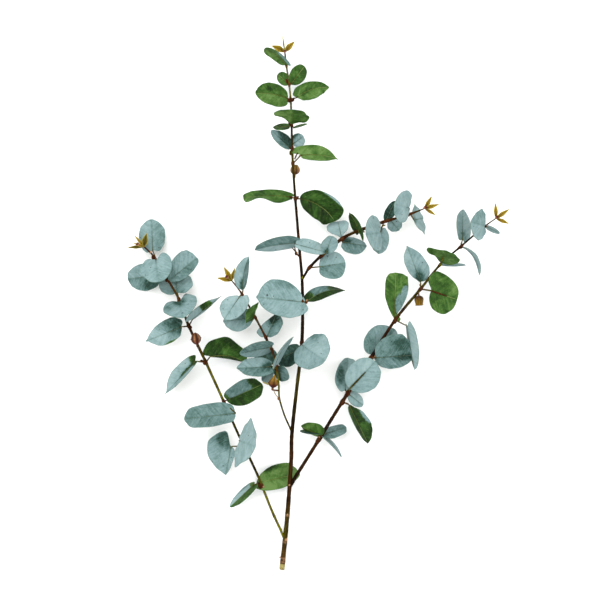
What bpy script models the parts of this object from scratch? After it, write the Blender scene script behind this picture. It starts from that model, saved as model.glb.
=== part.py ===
"""Eucalyptus gum nut sprig, cut and laid flat.

Metres, +Z up. The sprig lies along +Y with its cut end at -Y, and the surface it lies on is Z = 0.
The origin is the middle of the floor that the sprig covers. Lengths below are millimetres and
angles degrees, and MM turns them into metres.
"""
import math

import bmesh
import bpy
from mathutils import Matrix, Vector

MM = 0.001

# Leaves
BLADE_THICKNESS = 0.7
RIM_POINTS = 12
INNER_RINGS = (0.6,)
BLADE_CENTRE = 0.40
NOTCH_WIDTH = 0.30

# Stems and leaf stalks
STEM_ROUNDNESS = 1
STEM_STEP = 18.0
STALK_ROUNDNESS = 0
STALK_RADIUS = 0.75
STALK_SINK = 3.0
STALK_BEND_AT = 0.6
STALK_BEND_LIFT = 0.1
SHORTEST_BENT_STALK = 2.5
JOINT_GAP = 0.3

# Gum nuts
NUT_ROUNDNESS = 3
NUT_RIBS = 5
NUT_RIB_DEPTH = 0.07
NUT_STALK_RADIUS = 0.8
# Place along the nut, and its width there as a share of the widest.
NUT_PROFILE = [(0.0, 0.30), (0.08, 0.62), (0.28, 0.94), (0.50, 1.0), (0.72, 0.88), (0.88, 0.62),
               (0.95, 0.50), (1.0, 0.42)]

# Bud stars
BRACT_THICKNESS = 0.9
LEAST_FLATNESS = 0.35
BRACT_PROFILE = [(0.0, 0.35), (0.15, 0.75), (0.38, 1.0), (0.65, 0.70), (0.88, 0.30), (1.0, 0.06)]
HEART_RADIUS = 1.7
HEART_PROFILE = [(0.0, 0.5), (1.2, 0.8), (3.0, 1.0), (5.0, 0.85), (6.2, 0.45)]
BRACTS_START = 2.6

# Each stem: centre line points (x, y, z) from its lower end, and the radius at both ends.
STEMS = {
    "leafy_main_stem": (
        [(-42.5, -300.6, 2.5), (-36.4, -240.5, 8), (-32.1, -178.9, 17), (-31.1, -145.8, 21),
         (-25.1, -90.4, 26), (-19.8, -42.9, 29), (-19.4, 20.3, 31), (-23.5, 72.3, 31),
         (-30.1, 158.7, 29), (-32.5, 230.1, 26), (-37.6, 272.0, 23.5), (-39.2, 285.2, 22.5)],
        2.7, 0.9),
    "leafy_branch_left": (
        [(-43.8, -258.4, 6.8), (-54.6, -234.4, 10), (-70.6, -194.0, 15), (-91.6, -149.0, 20),
         (-108.6, -110.5, 24), (-128.6, -66.3, 26), (-148.1, -24.9, 26), (-159.1, 4.9, 25),
         (-174.6, 31.6, 22), (-187.4, 53.0, 19), (-198.5, 64.4, 17)],
        1.8, 0.8),
    "leafy_branch_mid_left": (
        [(-34.9, -137.2, 22.7), (-40.1, -124.9, 25), (-45.4, -106.2, 28), (-46.4, -88.1, 30),
         (-51.8, -58.0, 33), (-59.9, -39.5, 34), (-72.5, -15.4, 34), (-87.6, 11.2, 33),
         (-98.5, 25.6, 32)],
        1.3, 0.8),
    "leafy_branch_right": (
        [(-27.6, -197.3, 15.5), (-17.4, -181.1, 18), (-1.9, -156.2, 21), (25.0, -112.5, 25),
         (57.6, -61.9, 28), (86.3, -17.3, 29), (114.5, 16.9, 28), (137.1, 44.7, 26),
         (160.1, 65.0, 24), (186.3, 87.0, 21), (199.6, 96.6, 20)],
        1.8, 0.8),
    "leafy_branch_upper_right": (
        [(-15.3, 34.9, 32), (-11.0, 41.5, 33), (2.8, 55.1, 34), (28.4, 75.5, 34),
         (54.8, 86.8, 33), (75.4, 93.7, 32), (100.0, 101.0, 30), (118.2, 107.8, 28)],
        1.2, 0.8),
}

# Short shoulders on the main stem that the branches grow out of: start and radius of each.
SHOULDERS = {
    "leafy_branch_left": ((-39.4, -269.0, 5.0), 2.0),
    "leafy_branch_mid_left": ((-31.0, -146.5, 21.0), 1.5),
    "leafy_branch_right": ((-33.4, -208.0, 12.8), 2.0),
    "leafy_branch_upper_right": ((-19.7, 28.0, 30.9), 1.4),
}

# Each leaf: the height up the sprig of its node, its foot x and y, how far the foot stands over
# the stem, bearing, pitch and length of the midrib. Then for the left and the right half: width,
# tilt, and where it is widest and how far its lobe reaches back, as shares of the length. Then
# curl of the halves, droop of the tip, sideways bend of the midrib to the left and roll of the
# halves towards the tip. Last how pointed the tip is and how much wider the foot end is drawn in.
LEAVES = {
    "leafy_main_stem": [
        (271, -37.6, 271, 2, 129, 8, 31.5, (9, -55, 0.4, -0.04), (9.5, 62, 0.3, 0.16),
         (12, 15, 32, -50), (0.3, 0)),
        (249, -32.2, 249, 0, 54, -8, 26.8, (10, 20, 0.55, 0), (9, -15, 0.5, -0.03), (8, 10, 0, 0),
         (0, 0)),
        (249, -35, 250, -1, 138, -22, 18, (6.5, -20, 0.5, 0.05), (7.5, 10, 0.5, 0), (5, 0, 0, 0), (0, 0)),
        (232, -36, 233, 1, 158, 3, 37, (13.2, -18, 0.3, 0.12), (13, 20, 0.6, 0), (6, 8, 26, 0),
         (0.05, 0)),
        (232, -25.4, 234, 1, 39, 5, 38, (10.5, -15, 0.2, 0.09), (12.5, 25, 0.45, -0.02),
         (8, 10, -42, 0), (0.1, 0)),
        (204, -31.5, 204, 3, 82, 66, 32, (21.5, 8, 0.86, -0.3), (19, 0, 0.62, -0.05), (10, 5, 0, 0),
         (-0.1, 0.3)),
        (203, -34, 201, -2, 180, -12, 19, (8, 58, 0.4, 0.1), (8, -58, 0.4, 0.1), (5, 8, 0, 0), (0.12, 0)),
        (203, -29.2, 200, 0, 15, 8, 16, (6.5, -74, 0.4, 0.1), (6.5, 74, 0.4, 0.1), (5, 8, 0, 0),
         (0.12, 0)),
        (176, -33, 176, -2, 135, -10, 31, (10, 50, 0.4, 0), (12, -45, 0.42, 0), (8, 8, 0, 0), (0.12, 0)),
        (176, -30.5, 181, -2, 36, -20, 17, (8, 0, 0.5, 0), (8, 0, 0.5, 0), (5, 5, 0, 0), (0, 0)),
        (159, -20.9, 168, 4, 8, 4, 40.5, (12.5, -25, 0.3, 0.38), (9.5, 42, 0.5, 0), (8, 12, -26, 0),
         (0.55, -0.3)),
        (119, -31.1, 121, 1, 173, 4, 56, (10, 50, 0.35, 0), (12, -46, 0.4, 0.1), (12, 14, 26, 40),
         (-0.3, 0)),
        (119, -22, 119, 1, 353, -8, 50.5, (21, 30, 0.66, 0.02), (14.5, -10, 0.4, 0), (12, 12, -50, 0),
         (-0.3, 0)),
        (69, -24.5, 69, 0, 188, -4, 49, (11.5, -60, 0.45, 0.1), (14, 50, 0.35, 0.1), (8, 10, 0, 0),
         (0.12, 0)),
        (69, -22.6, 68.5, 5, 344, 7, 33, (10, -20, 0.4, 0.08), (5.5, 10, 0.4, 0.08), (6, 6, 0, 0),
         (0.12, 0)),
        (3, -16, 2, 2, 174, 4, 54.8, (19.5, 8, 0.35, 0.12), (23.2, -10, 0.62, -0.06), (8, 10, 0, 0),
         (0.05, 0)),
        (3, -13.8, 3, 0, 42, -4, 46, (13, -60, 0.5, 0.12), (10, 42, 0.5, -0.05), (8, 8, -50, -45),
         (0.12, 0)),
        (-44, -20, -46, 3, 326, 50, 44.5, (25, 2, 0.45, 0.1), (17, -12, 0.42, 0.12), (10, 8, 0, 0),
         (0.05, 0)),
        (-44, -24.3, -52, -2, 207, -28, 32, (14, 20, 0.4, 0.12), (13, -50, 0.4, 0.12), (8, 5, 0, 0),
         (0.12, 0)),
    ],
    "leafy_branch_left": [
        (50, -189.6, 61, -6, 93, -5, 36, (15.5, 0, 0.42, 0.12), (15.5, -6, 0.45, 0.08), (6, 8, 0, 0),
         (0.05, 0)),
        (47, -185.9, 51, 3, 280, 42, 34, (18, 0, 0.42, 0.36), (19, 0, 0.4, 0.1), (9, 6, 0, 0), (0.05, 0)),
        (27, -182.5, 33, -2, 187, -26, 43, (16, -8, 0.45, 0.1), (15, 12, 0.4, 0.1), (6, 10, 0, 0),
         (0.05, 0)),
        (27, -170.1, 27, 2, 39, 8, 41, (18, 18, 0.76, -0.05), (9.5, -15, 0.45, 0), (6, 8, 0, 0),
         (-0.18, 0)),
        (5, -161.2, 12.6, -2, 99, -36, 30, (19, 0, 0.4, 0.12), (19, 0, 0.4, 0.12), (6, 5, 0, 0),
         (0.05, 0)),
        (3, -158.8, 3.5, 3, 285, 58, 32, (20, 0, 0.3, 0.5), (20, 0, 0.35, 0.25), (9, 6, 0, 0), (0.2, 0)),
        (-25, -144.1, -18, 1, 41, 4, 39, (9.5, 38, 0.3, 0.26), (8, -82, 0.4, 0), (8, 12, -4, 0),
         (0.55, 0)),
        (-25, -156.3, -26, 0, 202, -4, 42, (13, 14, 0.45, 0), (15, -14, 0.3, 0.15), (6, 8, 0, 0),
         (0.42, 0)),
        (-66, -123.9, -60, -1, 354, -6, 41, (25, -15, 0.42, 0.35), (6, -62, 0.5, 0), (10, 10, 0, 0),
         (0.3, 0.5)),
        (-66, -140.7, -65, -1, 227, -8, 50, (11, 68, 0.4, 0.1), (16, -45, 0.6, 0.18), (8, 10, 0, 0),
         (0.12, 0)),
        (-111, -105.1, -109, 2, 24, 8, 44, (20.5, 42, 0.62, 0.06), (14.5, -20, 0.5, 0), (12, 8, 0, 0),
         (-0.1, 0)),
        (-111, -102.2, -121.4, 3.6, 186, 6, 50, (12.5, 10, 0.65, 0.3), (15, -10, 0.35, 0.1),
         (8, 10, 0, 0), (-0.25, 0)),
        (-161, -100.2, -162, 1, 259, -4, 32, (10, 55, 0.3, 0.5), (27, -12, 0.12, 0.62), (8, 8, 0, 0),
         (0.25, -0.25)),
        (-161, -91.2, -155, 4, 345, 62, 38, (27, 0, 0.4, 0.12), (27, 0, 0.4, 0.12), (10, 6, 0, 0),
         (0.12, 0)),
        (-207, -71.5, -204, 1, 12, -12, 52, (16.5, -14, 0.62, -0.05), (12, 8, 0.45, 0.1), (8, 8, 0, 0),
         (0, 0)),
        (-207, -74, -205, 1, 223, 4, 38, (12, 58, 0.4, 0.12), (12, -68, 0.4, 0.12), (10, 12, 0, 0),
         (0.12, 0)),
    ],
    "leafy_branch_mid_left": [
        (11, -86.4, 16, 1, 95, 4, 38, (12, 30, 0.4, 0), (12, -68, 0.4, 0), (8, 8, -30, 0), (0.2, 0)),
        (11, -89.8, 9, 2, 236, 8, 31, (15, 14, 0.3, 0.25), (13.5, -14, 0.55, -0.05), (8, 8, 0, 0),
         (0.1, 0)),
        (-15, -74, -15, -2, 188, -12, 36, (14, -18, 0.6, -0.05), (13, 24, 0.4, 0.12), (6, 8, 0, 0),
         (0.12, 0)),
        (-15, -72.7, -12.5, 3, 138, 62, 22, (12, 0, 0.5, 0.1), (12, 0, 0.5, 0.1), (8, 5, 0, 0),
         (0.12, 0)),
        (-38, -59.3, -37, -2, 68, -14, 30, (13.5, -40, 0.08, 0.12), (12, 12, 0.6, 0), (6, 8, 0, -50),
         (0.12, 0)),
        (-50, -53.7, -48.5, 3, 192, 10, 37, (12, -55, 0.4, 0.12), (13, 45, 0.4, 0.12), (8, 8, 0, 0),
         (0.12, 0)),
        (-70, -55.3, -71, 1, 182, 10, 37, (13.5, 38, 0.4, 0.12), (13.5, -38, 0.4, 0.12), (8, 10, 0, 0),
         (0.12, 0)),
        (-70, -53.1, -68, -2, 136, -26, 28, (13, 0, 0.4, 0.12), (13, 0, 0.4, 0.12), (5, 5, 0, 0),
         (0.12, 0)),
        (-75, -53.7, -71, -2, 236, -24, 22, (10, 40, 0.5, 0.08), (9, -50, 0.5, 0.08), (6, 5, 0, 0),
         (0.12, 0)),
        (-70, -45.8, -70, -1, 280, -30, 22, (11, 30, 0.5, 0.1), (8, -30, 0.4, 0.1), (6, 5, 0, 0),
         (0.12, 0)),
        (-70, -51, -73, 4, 76, 12, 42, (11, 70, 0.4, 0.05), (11, -70, 0.4, 0.05), (8, 10, -34, 0),
         (0.12, 0)),
    ],
    "leafy_branch_right": [
        (-154, 1.7, -150, 2, 153, 6, 25, (8, -68, 0.4, 0.12), (13, 25, 0.3, 0.1), (8, 8, 0, 0),
         (0.12, 0)),
        (-154, 4, -150, 0, 325, -4, 33, (8, -76, 0.4, 0.1), (8, 76, 0.4, 0.1), (6, 10, -26, 0),
         (0.12, 0)),
        (-151, 5.1, -148, -2, 17, -10, 27, (9, -52, 0.4, 0.1), (10, 40, 0.4, 0.1), (6, 6, 0, 0),
         (-0.2, 0)),
        (-151, 2.8, -146, -1, 176, -6, 25, (8.5, 72, 0.4, 0.1), (8.5, -72, 0.4, 0.1), (6, 6, 0, 0),
         (0.12, 0)),
        (-111, 33.7, -114.5, 1, 296, -6, 50, (16, -36, 0.62, -0.1), (11, 62, 0.32, 0), (8, 16, 0, 0),
         (0.2, 0)),
        (-102, 34.3, -103, -1, 322, -20, 21, (8, -25, 0.4, 0.1), (8, 25, 0.4, 0.1), (6, 5, 0, 0),
         (0.12, 0)),
        (-101, 34.2, -96, 4, 47, 10, 43, (18.5, 10, 0.5, 0), (20, -8, 0.5, 0), (8, 8, 0, 0), (-0.05, 0)),
        (-101, 29.5, -98, -3, 85, -12, 38, (13, -8, 0.4, 0.08), (18, 8, 0.4, 0.12), (6, 6, 0, 0),
         (0.12, 0)),
        (-61, 60.5, -59, -3, 50, -10, 40, (22, 6, 0.45, 0.12), (20, -6, 0.4, 0.12), (6, 6, 0, 0),
         (0.05, 0)),
        (-61, 63.8, -61, 1, 4, 2, 44, (27, 15, 0.58, 0.05), (16, -34, 0.4, 0.05), (8, 8, 0, 0), (0.2, 0)),
        (-18, 98.9, -25, 2, 280, 4, 50, (14, 48, 0.4, 0.16), (13, -86, 0.4, 0.13), (8, 12, 0, 0),
         (0.12, 0)),
        (-17, 84.8, -16, 1, 88, 6, 52, (12, -10, 0.65, -0.05), (15.5, 20, 0.75, -0.1), (10, 10, 0, 0),
         (-0.6, 0.3)),
        (17, 114.5, 25, 2, 111, 8, 41.8, (13, 38, 0.6, -0.1), (17, -30, 0.27, 0.05), (8, 8, 0, 0),
         (0.38, 0)),
        (17, 126, 15, 2, 341, 28, 34, (23.5, 4, 0.08, 0.26), (21.5, -4, 0.6, 0.06), (10, 8, 0, 0),
         (-0.08, 0)),
        (45, 137.7, 47, 3, 72, 66, 29, (21.3, 0, 0.81, -0.42), (18.5, 0, 0.7, 0), (10, 6, 0, 0),
         (0.05, 0)),
        (45, 139.6, 44.4, -1, 359, -6, 27, (8, 72, 0.4, 0.1), (5, -72, 0.4, 0.1), (8, 8, 0, 0),
         (0.12, 0)),
        (65, 162.3, 73, -2, 88, -10, 35, (12, 48, 0.5, 0.12), (14, -48, 0.4, 0.15), (8, 8, 0, 0),
         (0.12, 0)),
        (65, 162.7, 64, 1, 338, -32, 46, (8.5, 72, 0.4, 0.1), (5, -95, 0.4, 0.05), (8, 16, -58, 0),
         (0.12, 0)),
        (87, 188, 88.2, 2, 167, 54, 28, (17.5, 0, 0.35, 0.25), (17.5, 0, 0.4, 0.12), (10, 6, 0, 0),
         (0.12, 0)),
        (87, 190.4, 88, -1, 331, -8, 17, (7, 68, 0.4, 0.1), (7, -68, 0.4, 0.1), (6, 6, 0, 0), (0.12, 0)),
    ],
    "leafy_branch_upper_right": [
        (41, 0, 42, 0, 9, 2, 30, (15.5, -10, 0.45, 0), (17, 10, 0.55, 0.1), (8, 8, 0, 0), (0, 0)),
        (55, 7, 57, 7, 70, 30, 23, (9, 20, 0.5, 0.05), (10, -20, 0.5, 0.05), (8, 6, 0, 0), (0, 0)),
        (74, 25.4, 74, -2, 102, -40, 28, (14.5, 0, 0.75, -0.2), (11, 0, 0.75, -0.2), (6, 5, 0, 0),
         (-0.35, 0.35)),
        (74, 26, 70, -2, 352, -14, 29, (9, -38, 0.4, 0.12), (12, 10, 0.45, 0.1), (6, 6, 0, 0), (0.12, 0)),
        (84, 45, 79.5, 3, 111, 14, 26, (10, -54, 0.35, 0.12), (9, 58, 0.35, 0.42), (8, 8, 0, 0),
         (0.3, 0)),
        (93, 68.8, 81, 3, 190, 55, 28, (20, 0, 0.4, 0.12), (20, 0, 0.4, 0.12), (10, 6, 0, 0), (0.12, 0)),
        (93, 69.5, 85, 0, 265, -10, 29, (12, 30, 0.4, 0.12), (12, -30, 0.4, 0.12), (8, 8, 0, 0),
         (0.12, 0)),
        (94, 75.6, 95, -2, 65, -18, 26, (6, -20, 0.4, 0.08), (7, 20, 0.45, 0.08), (6, 6, 0, 0),
         (0.12, 0)),
        (94, 81, 94, -2, 313, -44, 20, (8.3, 10, 0.4, 0.1), (8.3, -10, 0.4, 0.1), (6, 5, 0, 0),
         (0.12, 0)),
        (101, 101.7, 108.5, 3, 168, 52, 28, (18.5, 0, 0.4, 0.12), (18.5, 0, 0.4, 0.12), (10, 6, 0, 0),
         (0.12, 0)),
        (102, 107, 95, -1, 14, -58, 25, (17, 0, 0.4, 0.12), (17, 0, 0.4, 0.12), (8, 5, 0, 0), (0.12, 0)),
    ],
}

# Each gum nut: the stem and the height up the sprig where its stalk leaves, the foot of the nut,
# the direction it points, and its length and width.
NUTS = {
    "gum_nut_leader": ("leafy_main_stem", 140, (-27.8, 146.5, 22.0), (0.02, 0.99, 0.02), 12, 10.5),
    "gum_nut_left": ("leafy_branch_left", -50, (-138.6, -46.0, 33.6), (-0.15, 0.98, 0.08), 14, 11),
    "gum_nut_right": ("leafy_branch_right", 12, (112.0, 8.5, 30.0), (0.12, -0.98, 0.05), 11, 9),
    "gum_nut_mid_left": ("leafy_branch_mid_left", -98, (-52.4, -93.5, 37.5), (0.10, 0.97, 0.05), 12, 9.5),
}

# Each bud star: the stem whose end it sits on, and its bracts as bearing, pitch, length, width.
STARS = {
    "bud_star_leader": ("leafy_main_stem", [(152, 10, 16, 4.5), (45, 12, 16, 4.5), (98, 30, 17, 1.6)]),
    "bud_star_left": ("leafy_branch_left",
                      [(130, 10, 18, 2.6), (74, 14, 15, 6), (182, -6, 18, 2.4), (160, 25, 14, 4)]),
    "bud_star_mid_left": ("leafy_branch_mid_left", [(118, 8, 18, 5.5), (72, 12, 15, 3), (168, 6, 16, 3.5)]),
    "bud_star_right": ("leafy_branch_right", [(92, 10, 17, 4.2), (32, 14, 18, 4.8), (-20, 4, 15, 3.6)]),
    "bud_star_upper_right": ("leafy_branch_upper_right",
                             [(60, 8, 15, 4), (18, 16, 17, 4.6), (-30, 2, 14, 3.6)]),
}

COLOURS = {
    "leaf": (0.30, 0.42, 0.38),
    "nut": (0.22, 0.10, 0.04),
    "bract": (0.34, 0.24, 0.03),
}


def clear_scene():
    for old in list(bpy.data.objects):
        bpy.data.objects.remove(old, do_unlink=True)


def material(name):
    existing = bpy.data.materials.get(name)
    if existing:
        return existing
    made = bpy.data.materials.new(name)
    made.use_nodes = True
    shader = made.node_tree.nodes["Principled BSDF"]
    shader.inputs["Base Color"].default_value = (*COLOURS[name], 1.0)
    shader.inputs["Roughness"].default_value = 0.6
    shader.inputs["Metallic"].default_value = 0.0
    return made


def spline_point(points, place):
    """A point on the smooth curve through the points, where place counts them from 0."""
    index = min(int(place), len(points) - 2)
    t = place - index
    before = points[max(index - 1, 0)]
    start, end = points[index], points[index + 1]
    after = points[min(index + 2, len(points) - 1)]
    return 0.5 * ((2 * start) + (end - before) * t
                  + (2 * before - 5 * start + 4 * end - after) * t ** 2
                  + (3 * start - before - 3 * end + after) * t ** 3)


def stem_course(name, step=STEM_STEP):
    """Evenly stepped points along a stem."""
    points = [Vector(point) for point in STEMS[name][0]]
    course = [points[0]]
    for index in range(len(points) - 1):
        steps = max(1, round((points[index + 1] - points[index]).length / step))
        course += [spline_point(points, index + k / steps) for k in range(1, steps + 1)]
    return course


def stem_at(name, height):
    """The stem's centre and radius at a height up the sprig."""
    course = stem_course(name, 2.0)
    start_radius, end_radius = STEMS[name][1:]
    for index, (low, high) in enumerate(zip(course, course[1:])):
        if low.y <= height <= high.y:
            share = (index + 1) / len(course)
            along = (height - low.y) / (high.y - low.y)
            return low.lerp(high, along), start_radius + (end_radius - start_radius) * share
    return (course[0], start_radius) if height < course[0].y else (course[-1], end_radius)


def tube(course, radii, roundness):
    """A closed round tube through the course, as a bmesh in millimetres."""
    curve = bpy.data.curves.new("tube", "CURVE")
    curve.dimensions = "3D"
    curve.twist_mode = "MINIMUM"
    curve.bevel_depth = 1.0
    curve.bevel_resolution = roundness
    curve.use_fill_caps = True
    spline = curve.splines.new("POLY")
    spline.points.add(len(course) - 1)
    for point, place, radius in zip(spline.points, course, radii):
        point.co = (*place, 1.0)
        point.radius = radius
    carrier = bpy.data.objects.new("tube", curve)
    mesh = bpy.data.meshes.new_from_object(carrier)
    bm = bmesh.new()
    bm.from_mesh(mesh)
    bpy.data.objects.remove(carrier)
    bpy.data.curves.remove(curve)
    bpy.data.meshes.remove(mesh)
    bmesh.ops.remove_doubles(bm, verts=bm.verts, dist=0.001)
    bmesh.ops.recalc_face_normals(bm, faces=bm.faces)
    return bm


def blade_disc():
    """A flat disc of triangles with its centre, inner rings and rim."""
    bm = bmesh.new()
    bmesh.ops.create_circle(bm, cap_ends=True, segments=RIM_POINTS, radius=1.0)
    middle = bm.faces[:]
    apothem = math.cos(math.pi / RIM_POINTS)
    reach = 1.0
    for ring in INNER_RINGS:
        bmesh.ops.inset_individual(bm, faces=middle, thickness=(reach - ring) * apothem)
        reach = ring
    bmesh.ops.poke(bm, faces=middle)
    bmesh.ops.triangulate(bm, faces=bm.faces)
    return bm


def blade_place(x, y, length, left, right, form):
    """Where a point of the unit disc lies on a flat heart-shaped blade with its foot at 0, 0."""
    width, _, widest, lobe = left if y > 0 else right
    tip, foot_end = form
    angle = math.atan2(y, x)
    forward = math.cos(angle)
    if forward >= 0:
        along = widest + (1 - widest) * forward
        narrowing = 1 - tip * forward ** 3
    else:
        notch = math.exp(-((math.pi - abs(angle)) / NOTCH_WIDTH) ** 2)
        along = widest + (widest + lobe) * forward + lobe * notch
        narrowing = 1 + foot_end * forward ** 3
    across = math.sin(angle) * narrowing * width
    centre = BLADE_CENTRE * length
    reach = math.hypot(x, y)
    return centre + (along * length - centre) * reach, across * reach


def arc(distance, span, degrees):
    """Level reach and rise of a strip that bends up evenly by an angle over its span."""
    turn = math.radians(degrees) * distance / span
    if abs(turn) < 0.001:
        return distance, 0.0
    radius = distance / turn
    return radius * math.sin(turn), radius * (1 - math.cos(turn))


def blade_shape(x, y, length, left, right, bends, form):
    """A point of the unit disc on the tilted, curled and drooping blade, foot at the origin."""
    curl, droop, lean, roll = bends
    along, across = blade_place(x, y, length, left, right, form)
    side = 1 if y > 0 else -1
    half, tilt = (left if y > 0 else right)[:2]
    out, rise = arc(abs(across), half, curl)
    lift = math.radians(tilt + side * roll * (along / length - 0.5))
    sideways = side * (out * math.cos(lift) - rise * math.sin(lift))
    height = out * math.sin(lift) + rise * math.cos(lift)
    forward, bend = arc(along, length, lean)
    heading = math.radians(lean) * along / length
    forward -= sideways * math.sin(heading)
    sideways = bend + sideways * math.cos(heading)
    forward, fall = arc(forward, length, droop)
    return Vector((forward, sideways, height - fall))


def blade(foot, bearing, pitch, shape):
    """One leaf blade as a bmesh, and the way its midrib sets out."""
    bm = blade_disc()
    turn = Matrix.Rotation(math.radians(bearing), 3, "Z") @ Matrix.Rotation(math.radians(-pitch), 3, "Y")
    for vertex in bm.verts:
        vertex.co = foot + turn @ blade_shape(vertex.co.x, vertex.co.y, *shape)
    bmesh.ops.recalc_face_normals(bm, faces=bm.faces)
    bmesh.ops.solidify(bm, geom=bm.faces[:], thickness=BLADE_THICKNESS)
    bmesh.ops.recalc_face_normals(bm, faces=bm.faces)
    for vertex in bm.verts:
        vertex.co.z = max(vertex.co.z, 0.0)
    return bm, turn @ Vector((1, 0, 0))


def add_solid(name, bm, collection=None):
    for vertex in bm.verts:
        vertex.co *= MM
    mesh = bpy.data.meshes.new(name)
    bm.to_mesh(mesh)
    bm.free()
    solid = bpy.data.objects.new(name, mesh)
    (collection or bpy.context.scene.collection).objects.link(solid)
    return solid


def fuse(solid, repeats):
    """Join the solids of a collection to one solid, and remove them."""
    union = solid.modifiers.new("fuse", "BOOLEAN")
    union.operation = "UNION"
    union.solver = "EXACT"
    union.operand_type = "COLLECTION"
    union.collection = repeats
    evaluated = solid.evaluated_get(bpy.context.evaluated_depsgraph_get())
    joined = bpy.data.meshes.new_from_object(evaluated)
    solid.modifiers.clear()
    solid.data = joined
    for part in list(repeats.objects):
        bpy.data.objects.remove(part, do_unlink=True)
    bpy.data.collections.remove(repeats)


def finish(solid, finish_name):
    solid.data.materials.clear()
    solid.data.materials.append(material(finish_name))
    solid.data.shade_smooth()
    solid.data.set_sharp_from_angle(angle=math.radians(40))


def new_group(name):
    group = bpy.data.collections.new(name)
    bpy.context.scene.collection.children.link(group)
    return group


def leaf(stem_name, group, index, row):
    """A leaf and its stalk, which runs from inside the stem to inside the blade."""
    node_y, foot_x, foot_y, rise, bearing, pitch = row[:6]
    node, stem_radius = stem_at(stem_name, node_y)
    foot = Vector((foot_x, foot_y, node.z + rise))
    bm, ahead = blade(foot, bearing, pitch, row[6:])
    add_solid(f"blade_{index}", bm, group)
    reach = (foot - node).length
    bend = node.lerp(foot, STALK_BEND_AT) + Vector((0, 0, STALK_BEND_LIFT * reach))
    course = [node, bend, foot, foot + ahead * STALK_SINK]
    radii = [min(stem_radius * 0.8, STALK_RADIUS * 1.3), STALK_RADIUS, STALK_RADIUS, STALK_RADIUS * 0.8]
    if reach < SHORTEST_BENT_STALK:
        course = [node, foot + ahead * STALK_SINK]
        radii = [STALK_RADIUS * 1.2, STALK_RADIUS * 0.8]
    add_solid(f"stalk_{index}", tube(course, radii, STALK_ROUNDNESS), group)


def shoulder(branch_name, group):
    """The stub of main stem wood that a branch meets end to end."""
    start, radius = SHOULDERS[branch_name]
    branch = stem_course(branch_name)
    start = Vector(start)
    ahead = (branch[0] - start).normalized()
    course = [start, branch[0] - ahead * JOINT_GAP]
    add_solid(f"shoulder_{branch_name}", tube(course, [radius, radius], STEM_ROUNDNESS), group)


def nut_stalk(name, group):
    stem_name, height, foot, facing = NUTS[name][:4]
    node = stem_at(stem_name, height)[0]
    ahead = Vector(facing).normalized()
    end = Vector(foot) - ahead * JOINT_GAP
    course = [node, end - ahead * NUT_STALK_RADIUS * 2, end]
    add_solid(f"stalk_{name}", tube(course, [NUT_STALK_RADIUS] * 3, STALK_ROUNDNESS), group)


def leafy_stem(name):
    course = stem_course(name)
    start_radius, end_radius = STEMS[name][1:]
    radii = [start_radius + (end_radius - start_radius) * k / (len(course) - 1)
             for k in range(len(course))]
    solid = add_solid(name, tube(course, radii, STEM_ROUNDNESS))
    group = new_group(f"repeats_{name}")
    for index, row in enumerate(LEAVES[name]):
        leaf(name, group, index, row)
    for nut_name in NUTS:
        if NUTS[nut_name][0] == name:
            nut_stalk(nut_name, group)
    if name == "leafy_main_stem":
        for branch_name in SHOULDERS:
            shoulder(branch_name, group)
    fuse(solid, group)
    finish(solid, "leaf")


def gum_nut(name):
    """A ribbed capsule with a rim and a sunk lid at its far end."""
    foot, facing, length, width = NUTS[name][2:]
    ahead = Vector(facing).normalized()
    course = [Vector(foot) + ahead * length * along for along, _ in NUT_PROFILE]
    radii = [width / 2 * share for _, share in NUT_PROFILE]
    bm = tube(course, radii, NUT_ROUNDNESS)
    side = ahead.orthogonal().normalized()
    for vertex in bm.verts:
        out = vertex.co - Vector(foot)
        out -= ahead * out.dot(ahead)
        turn = math.atan2(out.dot(ahead.cross(side)), out.dot(side))
        vertex.co += out * NUT_RIB_DEPTH * math.cos(NUT_RIBS * turn)
    finish(add_solid(name, bm), "nut")


def bract(heart, bearing, pitch, length, width):
    """A pointed scale, flat below and thickest down its middle."""
    course = [Vector((length * along, 0, 0)) for along, _ in BRACT_PROFILE]
    bm = tube(course, [width / 2 * share for _, share in BRACT_PROFILE], STALK_ROUNDNESS)
    turn = Matrix.Rotation(math.radians(bearing), 3, "Z") @ Matrix.Rotation(math.radians(-pitch), 3, "Y")
    flatness = max(BRACT_THICKNESS / width, LEAST_FLATNESS)
    for vertex in bm.verts:
        place = Vector((vertex.co.x, vertex.co.y, vertex.co.z * flatness))
        vertex.co = heart + turn @ place
    return bm


def bud_star(name):
    stem_name, bracts = STARS[name]
    course = stem_course(stem_name)
    ahead = (course[-1] - course[-2]).normalized()
    foot = course[-1] + ahead * JOINT_GAP
    middles = [foot + ahead * along for along, _ in HEART_PROFILE]
    radii = [HEART_RADIUS * share for _, share in HEART_PROFILE]
    solid = add_solid(name, tube(middles, radii, STEM_ROUNDNESS))
    group = new_group(f"repeats_{name}")
    for index, row in enumerate(bracts):
        add_solid(f"{name}_bract_{index}", bract(foot + ahead * BRACTS_START, *row), group)
    fuse(solid, group)
    finish(solid, "bract")


clear_scene()
for stem_name in STEMS:
    leafy_stem(stem_name)
for nut_name in NUTS:
    gum_nut(nut_name)
for star_name in STARS:
    bud_star(star_name)
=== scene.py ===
"""Eucalyptus gum nut sprig, cut and lying on a pale surface, seen from straight above."""

from math import atan2, cos, exp, hypot, pi, radians, sin

import bmesh
import bpy
from mathutils import Matrix, Vector, noise


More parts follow.
